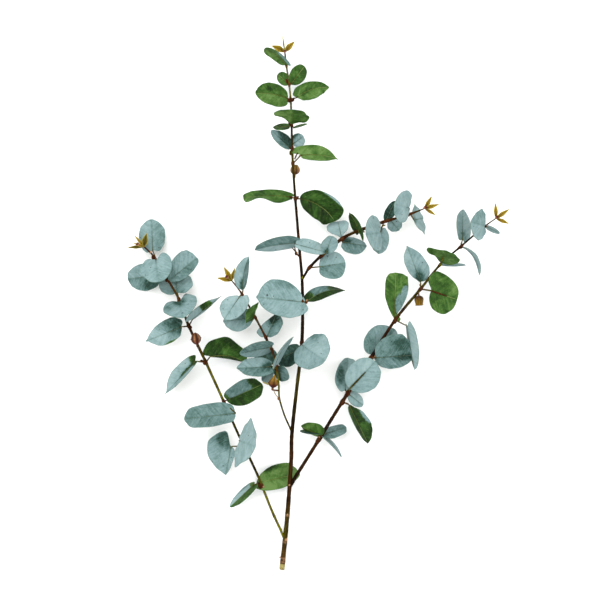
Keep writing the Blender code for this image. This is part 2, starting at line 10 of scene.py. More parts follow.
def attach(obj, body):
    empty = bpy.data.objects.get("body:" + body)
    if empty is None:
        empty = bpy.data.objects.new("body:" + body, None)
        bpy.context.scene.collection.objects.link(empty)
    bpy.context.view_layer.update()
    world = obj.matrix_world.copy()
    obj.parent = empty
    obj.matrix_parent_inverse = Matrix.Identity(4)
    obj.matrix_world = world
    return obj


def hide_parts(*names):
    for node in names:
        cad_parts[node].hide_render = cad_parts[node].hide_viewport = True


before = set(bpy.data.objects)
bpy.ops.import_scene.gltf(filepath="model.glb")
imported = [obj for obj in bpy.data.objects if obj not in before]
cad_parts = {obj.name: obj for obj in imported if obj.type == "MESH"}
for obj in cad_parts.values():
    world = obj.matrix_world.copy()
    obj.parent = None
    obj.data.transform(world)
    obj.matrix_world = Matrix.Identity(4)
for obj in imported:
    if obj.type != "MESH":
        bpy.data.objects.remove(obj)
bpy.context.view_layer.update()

# The woody stems. Each is one slender shoot, red brown with olive stretches where the bark is
# young, swollen to a collar wherever a pair of leaves grew, and cut square at the lower end of
# the main stem. Side branches leave the main stem at a thick reddish shoulder.
MM = 0.001
STEM_SIDES = 14
STEM_STEP = 1.1
COLLAR_REACH = 2.2
COLLAR_SWELL = 0.75
CUT_HEIGHT = -296.8
CUT_SWELL = 1.08
RINGS = (-294.4, -290.2, -271.6, -241.0)
RING_SWELL = 0.2
RED_REACH = 3.2
UNEVENNESS = 0.1
SHARP_EDGE = 50
STUDIO_GAIN = 2.0

# Each stem: its route, its radius at four even steps along it, and its bark at even steps up it:
# r red brown, b brown, d k nearly black, o olive, y young olive green.
STEMS = {
    "leafy_main_stem": (
        [(-42.7, -303.4, 3.15), (-36.4, -240.5, 8), (-32.1, -178.9, 17), (-31.1, -145.8, 21),
         (-25.1, -90.4, 26), (-19.8, -42.9, 29), (-19.4, 20.3, 31), (-23.5, 72.3, 31),
         (-30.1, 158.7, 29), (-32.5, 230.1, 26), (-37.6, 272.0, 23.5), (-39.2, 285.2, 22.5)],
        (2.8, 2.15, 1.6, 0.9), "robbdodddbdodyb"),
    "leafy_branch_left": (
        [(-43.8, -258.4, 6.8), (-54.6, -234.4, 10), (-70.6, -194.0, 15), (-91.6, -149.0, 20),
         (-108.6, -110.5, 24), (-128.6, -66.3, 26), (-148.1, -24.9, 26), (-159.1, 4.9, 25),
         (-174.6, 31.6, 22), (-187.4, 53.0, 19), (-198.5, 64.4, 17)],
        (1.5, 1.4, 1.7, 0.9), "yyodoyoborr"),
    "leafy_branch_mid_left": (
        [(-34.9, -137.2, 22.7), (-40.1, -124.9, 25), (-45.4, -106.2, 28), (-46.4, -88.1, 30),
         (-51.8, -58.0, 33), (-59.9, -39.5, 34), (-72.5, -15.4, 34), (-87.6, 11.2, 33),
         (-98.5, 25.6, 32)],
        (1.1, 1.1, 1.3, 0.75), "ooyyrrorr"),
    "leafy_branch_right": (
        [(-27.6, -197.3, 15.5), (-17.4, -181.1, 18), (-1.9, -156.2, 21), (25.0, -112.5, 25),
         (57.6, -61.9, 28), (86.3, -17.3, 29), (114.5, 16.9, 28), (137.1, 44.7, 26),
         (160.1, 65.0, 24), (186.3, 87.0, 21), (199.6, 96.6, 20)],
        (2.1, 2.0, 1.6, 0.7), "dbdbdkboodb"),
    "leafy_branch_upper_right": (
        [(-15.3, 34.9, 32), (-11.0, 41.5, 33), (2.8, 55.1, 34), (28.4, 75.5, 34),
         (54.8, 86.8, 33), (75.4, 93.7, 32), (100.0, 101.0, 30), (118.2, 107.8, 28)],
        (1.4, 1.8, 1.3, 0.75), "dddbbobo"),
}
# Where the heart of each side branch starts inside the main stem.
BRANCH_ROOTS = {
    "leafy_branch_left": (-39.4, -269.0, 5.0),
    "leafy_branch_mid_left": (-31.0, -146.5, 21.0),
    "leafy_branch_right": (-33.4, -208.0, 12.8),
    "leafy_branch_upper_right": (-19.7, 28.0, 30.9),
}


def spline_point(points, place):
    """A point on the smooth curve through the points, where place counts them from 0."""
    index = min(int(place), len(points) - 2)
    t = place - index
    before = points[max(index - 1, 0)]
    start, end = points[index], points[index + 1]
    after = points[min(index + 2, len(points) - 1)]
    return 0.5 * ((2 * start) + (end - before) * t
                  + (2 * before - 5 * start + 4 * end - after) * t ** 2
                  + (3 * start - before - 3 * end + after) * t ** 3)


def smooth_course(points, step):
    points = [Vector(point) for point in points]
    course = [points[0]]
    for index in range(len(points) - 1):
        steps = max(1, round((points[index + 1] - points[index]).length / step))
        course += [spline_point(points, index + k / steps) for k in range(1, steps + 1)]
    return course


def stem_at(name, height):
    """The stem's centre at a height up the sprig."""
    course = smooth_course(STEMS[name][0], 2.0)
    for low, high in zip(course, course[1:]):
        if low.y <= height <= high.y:
            return low.lerp(high, (height - low.y) / (high.y - low.y))
    return course[0] if height < course[0].y else course[-1]


def new_ring(bm, sides):
    """A closed disc to start a tube or a turned body from: its points and its edges."""
    ring = bmesh.ops.create_circle(bm, cap_ends=True, segments=sides, radius=1.0)["verts"]
    return ring, list(dict.fromkeys(edge for vertex in ring for edge in vertex.link_edges))


def pushed_ring(bm, edges):
    """Extrude a ring of edges and give the new ring's points and edges, still in place."""
    pushed = bmesh.ops.extrude_edge_only(bm, edges=edges)["geom"]
    ring = [item for item in pushed if isinstance(item, bmesh.types.BMVert)]
    return ring, [item for item in pushed if isinstance(item, bmesh.types.BMEdge)
                  and all(vertex in ring for vertex in item.verts)]


def add_tube(bm, course, radius_at, tint_at, sides=STEM_SIDES):
    """A closed round tube: a disc, pushed out step by step along the course.

    radius_at and tint_at give the radius and the bark colour at a point of the course.
    """
    tint = bm.verts.layers.float_color["tint"]
    ring, edges = new_ring(bm, sides)
    place, heading, radius = Vector(), Vector((0, 0, 1)), 1.0
    for index, point in enumerate(course):
        if index:
            ring, edges = pushed_ring(bm, edges)
        ahead = course[min(index + 1, len(course) - 1)] - course[max(index - 1, 0)]
        ahead.normalize()
        new_radius = radius_at(index, point)
        move = (Matrix.Translation(point)
                @ heading.rotation_difference(ahead).to_matrix().to_4x4()
                @ Matrix.Scale(new_radius / radius, 4)
                @ Matrix.Translation(-place))
        bmesh.ops.transform(bm, matrix=move, verts=ring)
        for vertex in ring:
            vertex[tint] = tint_at(index, point)
        place, heading, radius = point, ahead, new_radius
    bmesh.ops.contextual_create(bm, geom=edges)


def finish_piece(name, bm, finish, slot, *nodes):
    """Turn a bmesh in millimetres into a smooth piece of the sprig that stands for its nodes."""
    for vertex in bm.verts:
        vertex.co *= MM
    bmesh.ops.recalc_face_normals(bm, faces=bm.faces)
    mesh = bpy.data.meshes.new(name)
    bm.to_mesh(mesh)
    bm.free()
    mesh.materials.append(finish)
    mesh.shade_smooth()
    mesh.set_sharp_from_angle(angle=radians(SHARP_EDGE))
    piece = bpy.data.objects.new(name, mesh)
    bpy.context.scene.collection.objects.link(piece)
    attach(piece, "root")
    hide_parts(*nodes)


def tone(red, green, blue):
    """A colour as the studio light shows it, 0 to 255, turned into the light it sends back."""
    shown = [((value / 255 + 0.055) / 1.055) ** 2.4 for value in (red, green, blue)]
    return tuple(value / STUDIO_GAIN for value in shown) + (1.0,)


def clamped(share):
    return min(max(share, 0.0), 1.0)


def mixed(first, second, share):
    share = clamped(share)
    return tuple(a + (b - a) * share for a, b in zip(first, second))


def new_material(name):
    made = bpy.data.materials.new(name)
    made.use_nodes = True
    return made, made.node_tree, made.node_tree.nodes["Principled BSDF"]


def feed(tree, node, inputs):
    """Feed a node's inputs with values or with the outputs of other nodes."""
    for socket, source in inputs.items():
        if isinstance(source, bpy.types.NodeSocket):
            tree.links.new(source, node.inputs[socket])
        else:
            node.inputs[socket].default_value = source


def add_node(tree, kind, inputs=None, **settings):
    made = tree.nodes.new("ShaderNode" + kind)
    for key, value in settings.items():
        setattr(made, key, value)
    feed(tree, made, inputs or {})
    return made


def maths(tree, operation, first, second=0.5, third=0.5):
    """A sum of numbers or sockets, done by a node."""
    return add_node(tree, "Math", {0: first, 1: second, 2: third}, operation=operation).outputs[0]


def scaled(tree, value, factor, base=0.0):
    """A value times a factor, plus a base."""
    return maths(tree, "MULTIPLY_ADD", value, factor, base)


def fade(tree, value, low, high):
    """0 below low, 1 above high and smooth between them."""
    made = add_node(tree, "MapRange", {"Value": value, "From Min": low, "From Max": high},
                    interpolation_type="SMOOTHSTEP")
    return made.outputs["Result"]


def shifted(tree, value, pattern, share):
    """A value raised or lowered by a share of how far a pattern lies from its middle."""
    return scaled(tree, maths(tree, "SUBTRACT", pattern), share, value)


def blend(tree, share, first, second, mode="MIX"):
    made = add_node(tree, "Mix", {0: share, 6: first, 7: second}, data_type="RGBA", blend_type=mode)
    return made.outputs[2]


def tinted(tree, colour, mask, share, second):
    """A colour with a share of a second one where the mask is 1."""
    return blend(tree, scaled(tree, mask, share), colour, second)


def grain(tree, scale, detail=4.0, stretch=(1, 1, 1), twist=0.0):
    """Noise fixed to the sprig, at a number of blotches per metre."""
    place = add_node(tree, "TexCoord").outputs["Object"]
    spread = add_node(tree, "Mapping", {"Vector": place, "Scale": stretch})
    made = add_node(tree, "TexNoise", {"Vector": spread.outputs[0], "Scale": scale,
                                       "Detail": detail, "Roughness": 0.6, "Distortion": twist})
    return made.outputs[0]


def finish_shader(tree, shader, colour, roughness, relief, depth, shine=0.10):
    bumps = add_node(tree, "Bump", {"Strength": 0.6, "Distance": depth, "Height": relief})
    feed(tree, shader, {"Base Color": colour, "Roughness": roughness, "Normal": bumps.outputs[0],
                        "Specular IOR Level": shine})


def bark_material():
    """Thin smooth bark: its own tint, long darker streaks, fine corky specks."""
    made, tree, shader = new_material("bark")
    tint = add_node(tree, "Attribute", attribute_name="tint").outputs["Color"]
    streaks = grain(tree, 900, 5, (1, 0.14, 1), 0.6)
    stretches = grain(tree, 150, 4, (1, 0.4, 1), 0.4)
    specks = grain(tree, 1500, 2)
    colour = blend(tree, fade(tree, streaks, 0.40, 0.64), tint, BARK_SHADOW, "MULTIPLY")
    colour = blend(tree, fade(tree, stretches, 0.50, 0.66), colour, BARK_SHADOW, "MULTIPLY")
    colour = blend(tree, fade(tree, specks, 0.68, 0.76), colour, BARK_SPECK)
    relief = maths(tree, "ADD", streaks, scaled(tree, specks, 0.4))
    finish_shader(tree, shader, colour, 0.6, relief, 0.0006, 0.03)
    return made


BARKS = {"r": tone(100, 56, 28), "b": tone(78, 46, 16), "d": tone(38, 24, 8),
         "o": tone(86, 78, 10), "y": tone(134, 132, 22), "p": tone(232, 182, 140),
         "s": tone(226, 214, 140), "g": tone(104, 140, 60), "k": tone(40, 18, 12)}
BARK_SHADOW = (0.40, 0.32, 0.20, 1.0)
BARK_SPECK = tone(150, 118, 80)
bark = bark_material()


def gap_to(point, heights):
    """How far a point of a stem lies from the nearest of some heights up the sprig."""
    return min((abs(point.y - height) for height in heights), default=99)


def bark_tint(name, point, nodes):
    """The bark's colour at a point of a stem, reddish at the leaf pairs, pale where it is cut."""
    if point.y < CUT_HEIGHT:
        return BARKS["s"]
    route, _, letters = STEMS[name]
    place = (point.y - route[0][1]) / (route[-1][1] - route[0][1])
    place = min(max(place, 0.0), 0.999) * (len(letters) - 1)
    colour = mixed(BARKS[letters[int(place)]], BARKS[letters[int(place) + 1]], place % 1)
    colour = mixed(BARKS["r"], colour, gap_to(point, nodes) / RED_REACH - 0.1)
    if name == "leafy_main_stem":
        colour = mixed(colour, BARKS["p"], 0.6 - gap_to(point, RINGS) * 0.45)
    return colour


def collar(point, heights):
    """How far the stem swells at a point, 1 right at a leaf pair or a ring."""
    return exp(-(gap_to(point, heights) / COLLAR_REACH) ** 2)


def add_stem(bm, name, nodes):
    route, girths, _ = STEMS[name]
    course = smooth_course(route, STEM_STEP)
    if name in BRANCH_ROOTS:
        root = Vector(BRANCH_ROOTS[name])
        course = smooth_course([root, root.lerp(course[0], 0.5)], STEM_STEP) + course
    count = len(course) - 1

    def radius_at(index, point):
        step = min(int(3 * index / count), 2)
        radius = girths[step] + (girths[step + 1] - girths[step]) * (3 * index / count - step)
        radius *= CUT_SWELL if point.y < CUT_HEIGHT else 1 + noise.noise(point * 0.25) * UNEVENNESS
        return radius + COLLAR_SWELL * collar(point, nodes) + RING_SWELL * collar(point, RINGS)

    add_tube(bm, course, radius_at, lambda index, point: bark_tint(name, point, nodes))


def new_wood():
    """An empty bmesh whose points carry a tint."""
    bm = bmesh.new()
    bm.verts.layers.float_color.new("tint")
    return bm


# The leaves. Round blades of living leaf tissue, grown in pairs at the collars. One face is
# green, the other carries a frosty blue bloom of wax; each sits on a thin stalk that runs on
# as the midrib. Young ones are folded or rolled, old ones flat with a slightly wavy rim.
BLADE_THICKNESS = 0.42
BLADE_RIM = 72
BLADE_RINGS = (0.975, 0.92, 0.84, 0.75, 0.66, 0.57, 0.48, 0.39, 0.30, 0.21, 0.12, 0.05)
BLADE_CENTRE = 0.40
NOTCH_WIDTH = 0.30
POINT_LENGTH = 0.16
POINT_WIDTH = 0.13
ENDS_WIDTH = 0.22
STANDING = 40
DENT = 0.05
RIM_WAVE = 1.5
BUCKLE = 0.9
CREASE = 0.45
CREASE_WIDTH = 0.9
STANDING_CREASE = 0.15
STALK_RADIUS = 0.95
MIDRIB_SHARES = (0.08, 0.2, 0.34, 0.5, 0.62, 0.82)

# Each leaf: the height up the sprig of its node, its foot x and y, how far the foot stands over
# the stem, bearing, pitch and length of the midrib. Then for the left and the right half: width,
# tilt, and where it is widest and how far its lobe reaches back, as shares of the length. Then
# curl of the halves, droop of the tip, sideways bend of the midrib to the left, roll of the
# halves towards the tip and how far the left half ripples. Last how pointed the tip is, how much
# the foot end is drawn in and how far the outer ends of the halves stick out. A right half that is
# left out mirrors the left one, and other values that are left out are the usual ones.
LEAVES = {
    "leafy_main_stem": [
        (271, -37.6, 271, 2, 129, 8, 31.5, (9, -55, 0.4, -0.04), (9.5, 56, 0.3, 0.16), (12, 15, 32, 6),
         (-0.5, -0.6)),
        (249, -32.2, 249, 0, 54, -8, 26.8, (10, 20, 0.55, 0), (9, -15, 0.5, -0.03), (8, 10), (0, 0)),
        (249, -35, 250, -1, 138, -22, 18, (6.5, -20, 0.5, 0.05), (7.5, 10, 0.5, 0), (5, 0), (0, 0)),
        (232, -36, 233, 1, 158, 3, 37, (13.2, -18, 0.3), (13, 20, 0.6, 0), (6, 8, 26), (0.05, 0)),
        (232, -25.4, 234, 1, 39, 5, 38, (10.5, -15, 0.2, 0.09), (12.5, 25, 0.45, -0.02), (8, 10, -42),
         (0.1, 0)),
        (204, -31.5, 204, 3, 82, 66, 32, (21.5, 8, 0.86, -0.3), (19, 0, 0.62, -0.05), (10, 5), (-0.1, 0.3)),
        (203, -34, 201, -2, 180, -12, 19, (8, 58, 0.4, 0.1), (), (5, 8)),
        (203, -29.2, 200, 0, 15, 8, 16, (6.5, -74, 0.4, 0.1), (), (5, 8)),
        (176, -33, 176, -2, 135, -10, 31, (10, 50, 0.4, 0), (12, -45, 0.42, 0)),
        (176, -30.5, 181, -2, 36, -20, 17, (8, 0, 0.5, 0), (), (5, 5), (0, 0)),
        (159, -20.9, 168, 4, 8, 4, 40.5, (12.5, -25, 0.3, 0.38), (9.5, 42, 0.5, 0), (8, 12, -26),
         (0.55, -0.3)),
        (119, -31.1, 121, 1, 173, 4, 56, (11.5, 52, 0.5, 0), (10.5, -50, 0.4, 0.1),
         (12, 14, 16, 0, -20), (-0.7, 0)),
        (119, -22, 119, 1, 353, -8, 49.5, (20.5, 30, 0.7, 0.02), (15, -10, 0.5, 0), (12, 12, -50),
         (-0.85, 0)),
        (69, -24.5, 69, 0, 182, -4, 49, (11.5, -60, 0.45, 0.1), (14, 48, 0.3, 0.1), (8, 10, 14)),
        (69, -27.6, 67.8, 5, 345, 7, 38, (10, -20, 0.4, 0.04), (6, 10, 0.4, 0.04), (6, 6)),
        (3, -16, 2, 2, 174, 4, 54.8, (19.5, 8, 0.35), (23.2, -10, 0.62, -0.06), (8, 10), (0.2, 0)),
        (3, -13.8, 3, 0, 42, -4, 46, (13, -60, 0.5), (10, 42, 0.5, -0.05), (8, 8, -50, -45)),
        (-44, -20, -46, 3.4, 326, 50, 44.5, (23.5, 2, 0.6, 0), (22, 2, 0.42, 0.16), (10, 8), (0, 0, 0.04)),
        (-44, -24.3, -52, -2, 207, -28, 32, (14, 20), (13, -50), (8, 5)),
    ],
    "leafy_branch_left": [
        (50, -189.6, 61, -6, 93, -5, 36, (15.5, 0, 0.42), (15.5, -6, 0.45, 0.08), (6, 8), (0.05, 0)),
        (47, -185.9, 51, 3, 280, 42, 34, (18, 0, 0.42, 0.36), (19, 0, 0.4, 0.1), (9, 6), (0.05, 0)),
        (27, -182.5, 33, -2, 187, -26, 43, (16, -8, 0.45, 0.1), (15, 12, 0.4, 0.1), (6, 10), (0.05, 0)),
        (27, -170.1, 27, 2, 39, 8, 41, (18, 18, 0.76, -0.05), (9.5, -15, 0.45, 0), (6, 8), (-0.18, 0)),
        (5, -161.2, 12.6, -2, 99, -36, 30, (19, 0), (), (6, 5), (0.05, 0)),
        (3, -158.8, 3.5, 3, 285, 58, 32, (20, 0, 0.3, 0.5), (20, 0, 0.35, 0.25), (9, 6), (0.2, 0)),
        (-25, -144.1, -18, 1, 41, 4, 39, (9.5, 38, 0.3, 0.26), (8, -82, 0.4, 0), (8, 12, -4), (0.55, 0)),
        (-25, -156.3, -26, 0, 202, -4, 42, (13, 14, 0.45, 0), (15, -14, 0.3, 0.15), (6, 8), (0.42, 0)),
        (-66, -123.9, -60, -1, 13, -6, 43, (22, -12, 0.42, 0.25), (6, -62, 0.5, 0),
         (10, 10, -44, 0, 26), (0.3, 0.5)),
        (-66, -140.7, -65, -1, 227, -8, 50, (11, 68, 0.4, 0.1), (16, -45, 0.5, 0.18), (8, 10), (0.5, 0)),
        (-111, -105.1, -109, 2, 24, 8, 44, (20.5, 42, 0.62, 0.06), (14.5, -20, 0.5, 0), (12, 8), (-0.1, 0)),
        (-111, -94.8, -123.9, 4.2, 186, 6, 58, (12.5, 8, 0.6, 0), (15, 0, 0.4, 0), (8, 10), (-0.5, -0.5)),
        (-161, -100.2, -162, 1, 259, -4, 32, (6, 25, 0.3, 0.05), (27, -12, 0.12, 0.62), (), (0.25, 0.3)),
        (-161, -91.2, -155, 4, 345, 62, 38, (24, 0, 0.5, 0), (24.5, 0, 0.35), (10, 6), (0.12, 0, 0.2)),
        (-207, -71.5, -204, 1, 12, -12, 52, (16.5, -14, 0.62, -0.05), (12, 8, 0.45, 0.1), (), (0, 0)),
        (-207, -74, -205, 1, 223, 4, 38, (12, 58), (12, -68), (10, 12)),
    ],
    "leafy_branch_mid_left": [
        (11, -86.4, 16, 1, 95, 4, 38, (12, 30, 0.4, 0), (12, -68, 0.4, 0), (8, 8, -30), (0.2, 0)),
        (11, -89.8, 9, 2, 236, 8, 31, (15, 14, 0.3, 0.25), (13.5, -14, 0.55, -0.05), (), (0.1, 0)),
        (-15, -74, -15, -2, 188, -12, 36, (14, -18, 0.6, -0.05), (13, 24), (6, 8)),
        (-15, -72.7, -12.5, 3, 140, 66, 22, (11, 0, 0.3, 0.3), (11, 0, 0.7, -0.2), (8, 5), (0.12, 0, 0.25)),
        (-38, -59.3, -37, -2, 68, -14, 30, (13.5, -40, 0.08), (12, 12, 0.6, 0), (6, 8, 0, -50)),
        (-50, -53.7, -48.5, 3, 192, 10, 37, (12, -55), (13, 45)),
        (-70, -55.3, -71, 1, 182, 10, 37, (13.5, 38), (), (8, 10)),
        (-70, -53.1, -68, -2, 136, -26, 28, (13, 0), (), (5, 5)),
        (-75, -53.7, -71, -2, 236, -24, 22, (10, 40, 0.5, 0.08), (9, -50, 0.5, 0.08), (6, 5)),
        (-70, -45.8, -70, -1, 280, -30, 22, (11, 30, 0.5, 0.1), (8, -30, 0.4, 0.1), (6, 5)),
        (-70, -51, -73, 4, 76, 12, 42, (11, 70, 0.4, 0.05), (), (8, 10, -34)),
    ],
    "leafy_branch_right": [
        (-154, 1.7, -150, 2, 153, 6, 25, (8, -68), (13, 25, 0.3, 0.1)),
        (-154, 4, -150, 0, 325, -4, 33, (8, -76, 0.4, 0.1), (), (6, 10, -26)),
        (-151, 5.1, -148, -2, 17, -10, 27, (9, -52, 0.4, 0.1), (10, 40, 0.4, 0.1), (6, 6), (-0.6, 0)),
        (-151, 2.8, -146, -1, 176, -6, 25, (8.5, 72, 0.4, 0.1), (), (6, 6)),
        (-111, 33.7, -114.5, 1, 296, -6, 50, (16, -36, 0.62, -0.1), (11, 62, 0.32, 0), (8, 16), (0.2, 0)),
        (-102, 34.3, -103, -1, 322, -20, 21, (8, -25, 0.4, 0.1), (), (6, 5)),
        (-101, 34.2, -96, 4, 47, 10, 43, (18.5, 10, 0.5, 0), (20, -8, 0.5, 0), (), (-0.05, 0)),
        (-101, 29.5, -98, -3, 85, -12, 38, (13, -8, 0.4, 0.08), (18, 8), (6, 6)),
        (-61, 60.5, -59, -3, 50, -10, 40, (22, 6, 0.45), (20, -6), (6, 6), (0.05, 0)),
        (-61, 63.8, -61, 1, 4, 2, 44, (27, 15, 0.58, 0.05), (16, -34, 0.4, 0.05), (), (0.2, 0)),
        (-18, 98.9, -25, 2, 280, 4, 50, (14, 48, 0.4, 0.16), (13, -86, 0.4, 0.13), (8, 12)),
        (-17, 84.8, -16, 1, 88, 6, 52, (12, -10, 0.65, -0.05), (15.5, 20, 0.75, -0.1), (10, 10),
         (-0.6, 0.3)),
        (17, 114.5, 25, 2, 111, 8, 41.8, (13, 38, 0.6, -0.1), (17, -30, 0.27, 0.05), (), (0.38, 0)),
        (17, 126, 15, 2, 341, 28, 34, (23.5, 4, 0.08, 0.26), (21.5, -4, 0.6, 0.06), (10, 8), (-0.08, 0)),
        (45, 137.7, 47, 3, 72, 66, 29, (21.3, 0, 0.81, -0.42), (18.5, 0, 0.7, 0), (10, 6), (0.05, 0)),
        (45, 139.6, 44.4, -1, 359, -6, 27, (8, 72, 0.4, 0.1), (5, -72, 0.4, 0.1)),
        (65, 162.3, 73, -2, 88, -10, 35, (12, 48, 0.5), (14, -48, 0.4, 0.15)),
        (65, 162.7, 64, 1, 338, -32, 46, (6.5, 74, 0.4, 0.1), (4, -95, 0.4, 0.05), (8, 16, -58)),
        (87, 188, 88.2, 2, 167, 54, 28, (16, 0, 0.35, 0.25), (16, 0, 0.6, 0), (10, 6), (0.12, 0, 0.15)),
        (87, 190.4, 88, -1, 331, -8, 17, (7, 68, 0.4, 0.1), (), (6, 6)),
    ],
    "leafy_branch_upper_right": [
        (41, 0, 42, 0, 9, 2, 30, (15.5, -10, 0.45, 0), (17, 10, 0.55, 0.1), (), (0, 0)),
        (55, 7, 57, 7, 70, 30, 23, (9, 20, 0.5, 0.05), (10, -20, 0.5, 0.05), (8, 6), (0, 0)),
        (74, 25.4, 74, -2, 102, -40, 28, (14.5, 0, 0.75, -0.2), (11, 0, 0.75, -0.2), (6, 5), (-0.35, 0.35)),
        (74, 26, 70, -2, 352, -14, 29, (9, -38), (12, 10, 0.45, 0.1), (6, 6)),
        (84, 45, 79.5, 3, 104, 14, 26, (10, -54, 0.35), (9, 58, 0.35, 0.42), (8, 8, 24), (0.3, 0)),
        (93, 68.8, 81, 3, 190, 55, 28, (20, 0), (), (10, 6)),
        (93, 69.5, 85, 0, 265, -10, 29, (12, 30)),
        (94, 75.6, 95, -2, 65, -18, 26, (6, -20, 0.4, 0.08), (7, 20, 0.45, 0.08), (6, 6)),
        (94, 81, 94, -2, 313, -44, 20, (8.3, 10, 0.4, 0.1), (), (6, 5)),
        (101, 101.7, 108.5, 3, 168, 52, 28, (18.5, 0), (), (10, 6)),
        (102, 107, 95, -1, 14, -58, 25, (14.5, 0), (15.5, 0, 0.6, 0), (8, 5), (0.12, 0, 0.2)),
    ],
}

USUAL_HALF = (0, 0, 0.4, 0.12)
USUAL_BENDS = (8, 8, 0, 0, 0)
USUAL_FORM = (0.12, 0, 0)


def whole_leaf(row):
    """A leaf's row with all that it leaves out."""
    left, right, bends, form = row[7:] + ((),) * (11 - len(row))
    left += USUAL_HALF[len(left):]
    right = right + USUAL_HALF[len(right):] if right else (left[0], -left[1], *left[2:])
    return row[:7] + (left, right, bends + USUAL_BENDS[len(bends):], form + USUAL_FORM[len(form):])


# How the face that looks up is coloured, leaf by leaf, left half and right half: f F d D K frosted
# from pale to dark, t half frosted, h g G k green from light to dark. How pale or dark a half is,
# is partly the leaf's own tone and partly painted shade, darker where a half is turned from the
# light or lies under other leaves. A third letter is the bark of a thick midrib that stands out.
FACES_AND_PAINTED_SHADE = {
    "leafy_main_stem": "gG GG GG gG Gg gG kk GG dD Ff gg GG kk fd ff FF dk fF DD",
    "leafy_branch_left": "FF FF dF Fd FF FF ff Fd kk Ff dk dd FF ff hh Gf",
    "leafy_branch_mid_left": "fd ff FF GG Fd Fd dF DD Fd dD ff",
    "leafy_branch_right": "GG fF dd Dk kk fF fFo Ff dF dd fF GG fF GGr GGy FF Ff ff fF ff",
    "leafy_branch_upper_right": "Fd FF ff Fd kk ff Fd KK FF ff ff",
}
# Frost and lightness for each letter; the lightness holds painted shade as well as the leaf's own tone.
SKINS_AND_PAINTED_SHADE = {"f": (1.0, 0.86), "F": (1.0, 0.70), "d": (1.0, 0.48), "D": (1.0, 0.20), "K": (1.0, 0.04),
         "t": (0.42, 0.30), "h": (0.0, 0.95), "g": (0.0, 0.80), "G": (0.0, 0.60), "k": (0.0, 0.24)}

# Patches of another shade, partly the leaf's own colour where the other face's green or frost
# shows, and partly painted shade in the darker frosted ones: the leaf, how far along the midrib
# and across the half (left plus) as shares, the reach of the patch both ways, and its shade.
PATCHES = {
    "leafy_main_stem": [
        (0, 0.05, -0.8, 0.55, 0.5, "d"), (6, 0.4, 1, 0.4, 0.2, "g"), (8, 0.9, 0.2, 0.3, 0.8, "F"),
        (9, 0.4, 0.9, 0.6, 0.35, "D"), (12, 0.58, 1, 0.36, 0.17, "f"), (12, 0.45, 0.4, 0.3, 0.3, "G"),
        (13, 0.35, -0.9, 0.4, 0.5, "d"), (15, 0.45, -0.8, 0.3, 0.25, "d"), (16, 0, 0.3, 0.25, 0.7, "k"),
        (16, 0.85, 0.5, 0.28, 0.9, "k"), (17, 0.2, 0.8, 0.3, 0.35, "d"), (3, 0.6, -0.5, 0.1, 0.3, "k"),
        (4, 0.25, -0.1, 0.2, 0.15, "G"), (18, 0.2, 0.5, 0.4, 0.5, "K")],
    "leafy_branch_left": [
        (0, 0.3, -0.7, 0.4, 0.5, "d"), (2, 0.25, 0.6, 0.3, 0.6, "D"), (4, 0, 0, 0.25, 0.5, "d"),
        (4, 0.8, -0.1, 0.3, 0.5, "D"), (5, 0.05, 0, 0.3, 0.4, "D"), (5, 0.3, -0.8, 0.2, 0.3, "d"),
        (6, 0.58, 0.2, 0.2, 1.2, "k"), (6, 1, 0, 0.18, 1.5, "f"), (7, 0.05, -0.2, 0.4, 0.9, "D"),
        (7, 0.34, 1, 0.32, 0.22, "G"), (7, 0.8, 0, 0.4, 0.9, "f"), (8, 0.5, 0.2, 0.25, 0.2, "G"),
        (8, 0.95, -0.1, 0.25, 0.4, "g"), (9, 0, 0, 0.12, 1, "k"), (9, 0.3, 0, 0.3, 0.25, "t"),
        (10, 0, 0, 0.1, 1, "G"), (10, 0.98, 0.5, 0.28, 1, "k"), (12, -0.2, -0.3, 0.4, 0.5, "D"),
        (14, 0.35, 0.9, 0.22, 0.35, "k"), (15, 0.25, -0.9, 0.4, 0.3, "d"), (15, 0, 0, 0.15, 1, "G"),
        (3, 0.1, 0, 0.25, 1, "d")],
    "leafy_branch_mid_left": [
        (0, 0.15, 0.1, 0.2, 0.3, "D"), (4, 0.75, 0.1, 0.26, 0.6, "K"), (6, 0.05, 0, 0.2, 0.6, "D"),
        (8, 0, 0, 0.3, 0.8, "D"), (9, 0.1, 0, 0.3, 0.6, "D"), (2, 0.25, 0.1, 0.3, 0.5, "d"),
        (3, 0.5, 0.6, 0.3, 0.3, "g")],
    "leafy_branch_right": [
        (4, 0.25, 0.95, 0.42, 0.42, "F"), (7, 0.45, 0.5, 0.3, 0.4, "D"), (6, 0.25, 0, 0.3, 0.05, "k"),
        (9, 0.72, 0.5, 0.3, 0.35, "D"), (9, 0.75, -0.1, 0.3, 0.25, "D"), (8, 0.7, 0.5, 0.3, 0.4, "F"),
        (10, 0.85, -0.6, 0.1, 0.6, "k"), (11, 0.3, -0.45, 0.28, 0.5, "d"),
        (11, 0.6, -0.8, 0.15, 0.3, "d"), (12, 0.12, 0, 0.2, 0.5, "D"), (13, 0.85, 0.4, 0.2, 0.5, "g"),
        (16, 0.1, 0, 0.2, 0.7, "d"), (19, 0.8, 0, 0.2, 1, "F")],
    "leafy_branch_upper_right": [
        (1, 0, 0, 0.3, 0.4, "D"), (3, 0.15, 0.4, 0.3, 0.4, "D"), (5, 0.9, -0.9, 0.15, 0.2, "t"),
        (2, 0.3, 0, 0.3, 0.3, "f"), (9, 0.8, 0.4, 0.3, 0.3, "F"), (10, 0.1, 0, 0.2, 0.3, "d")],
}

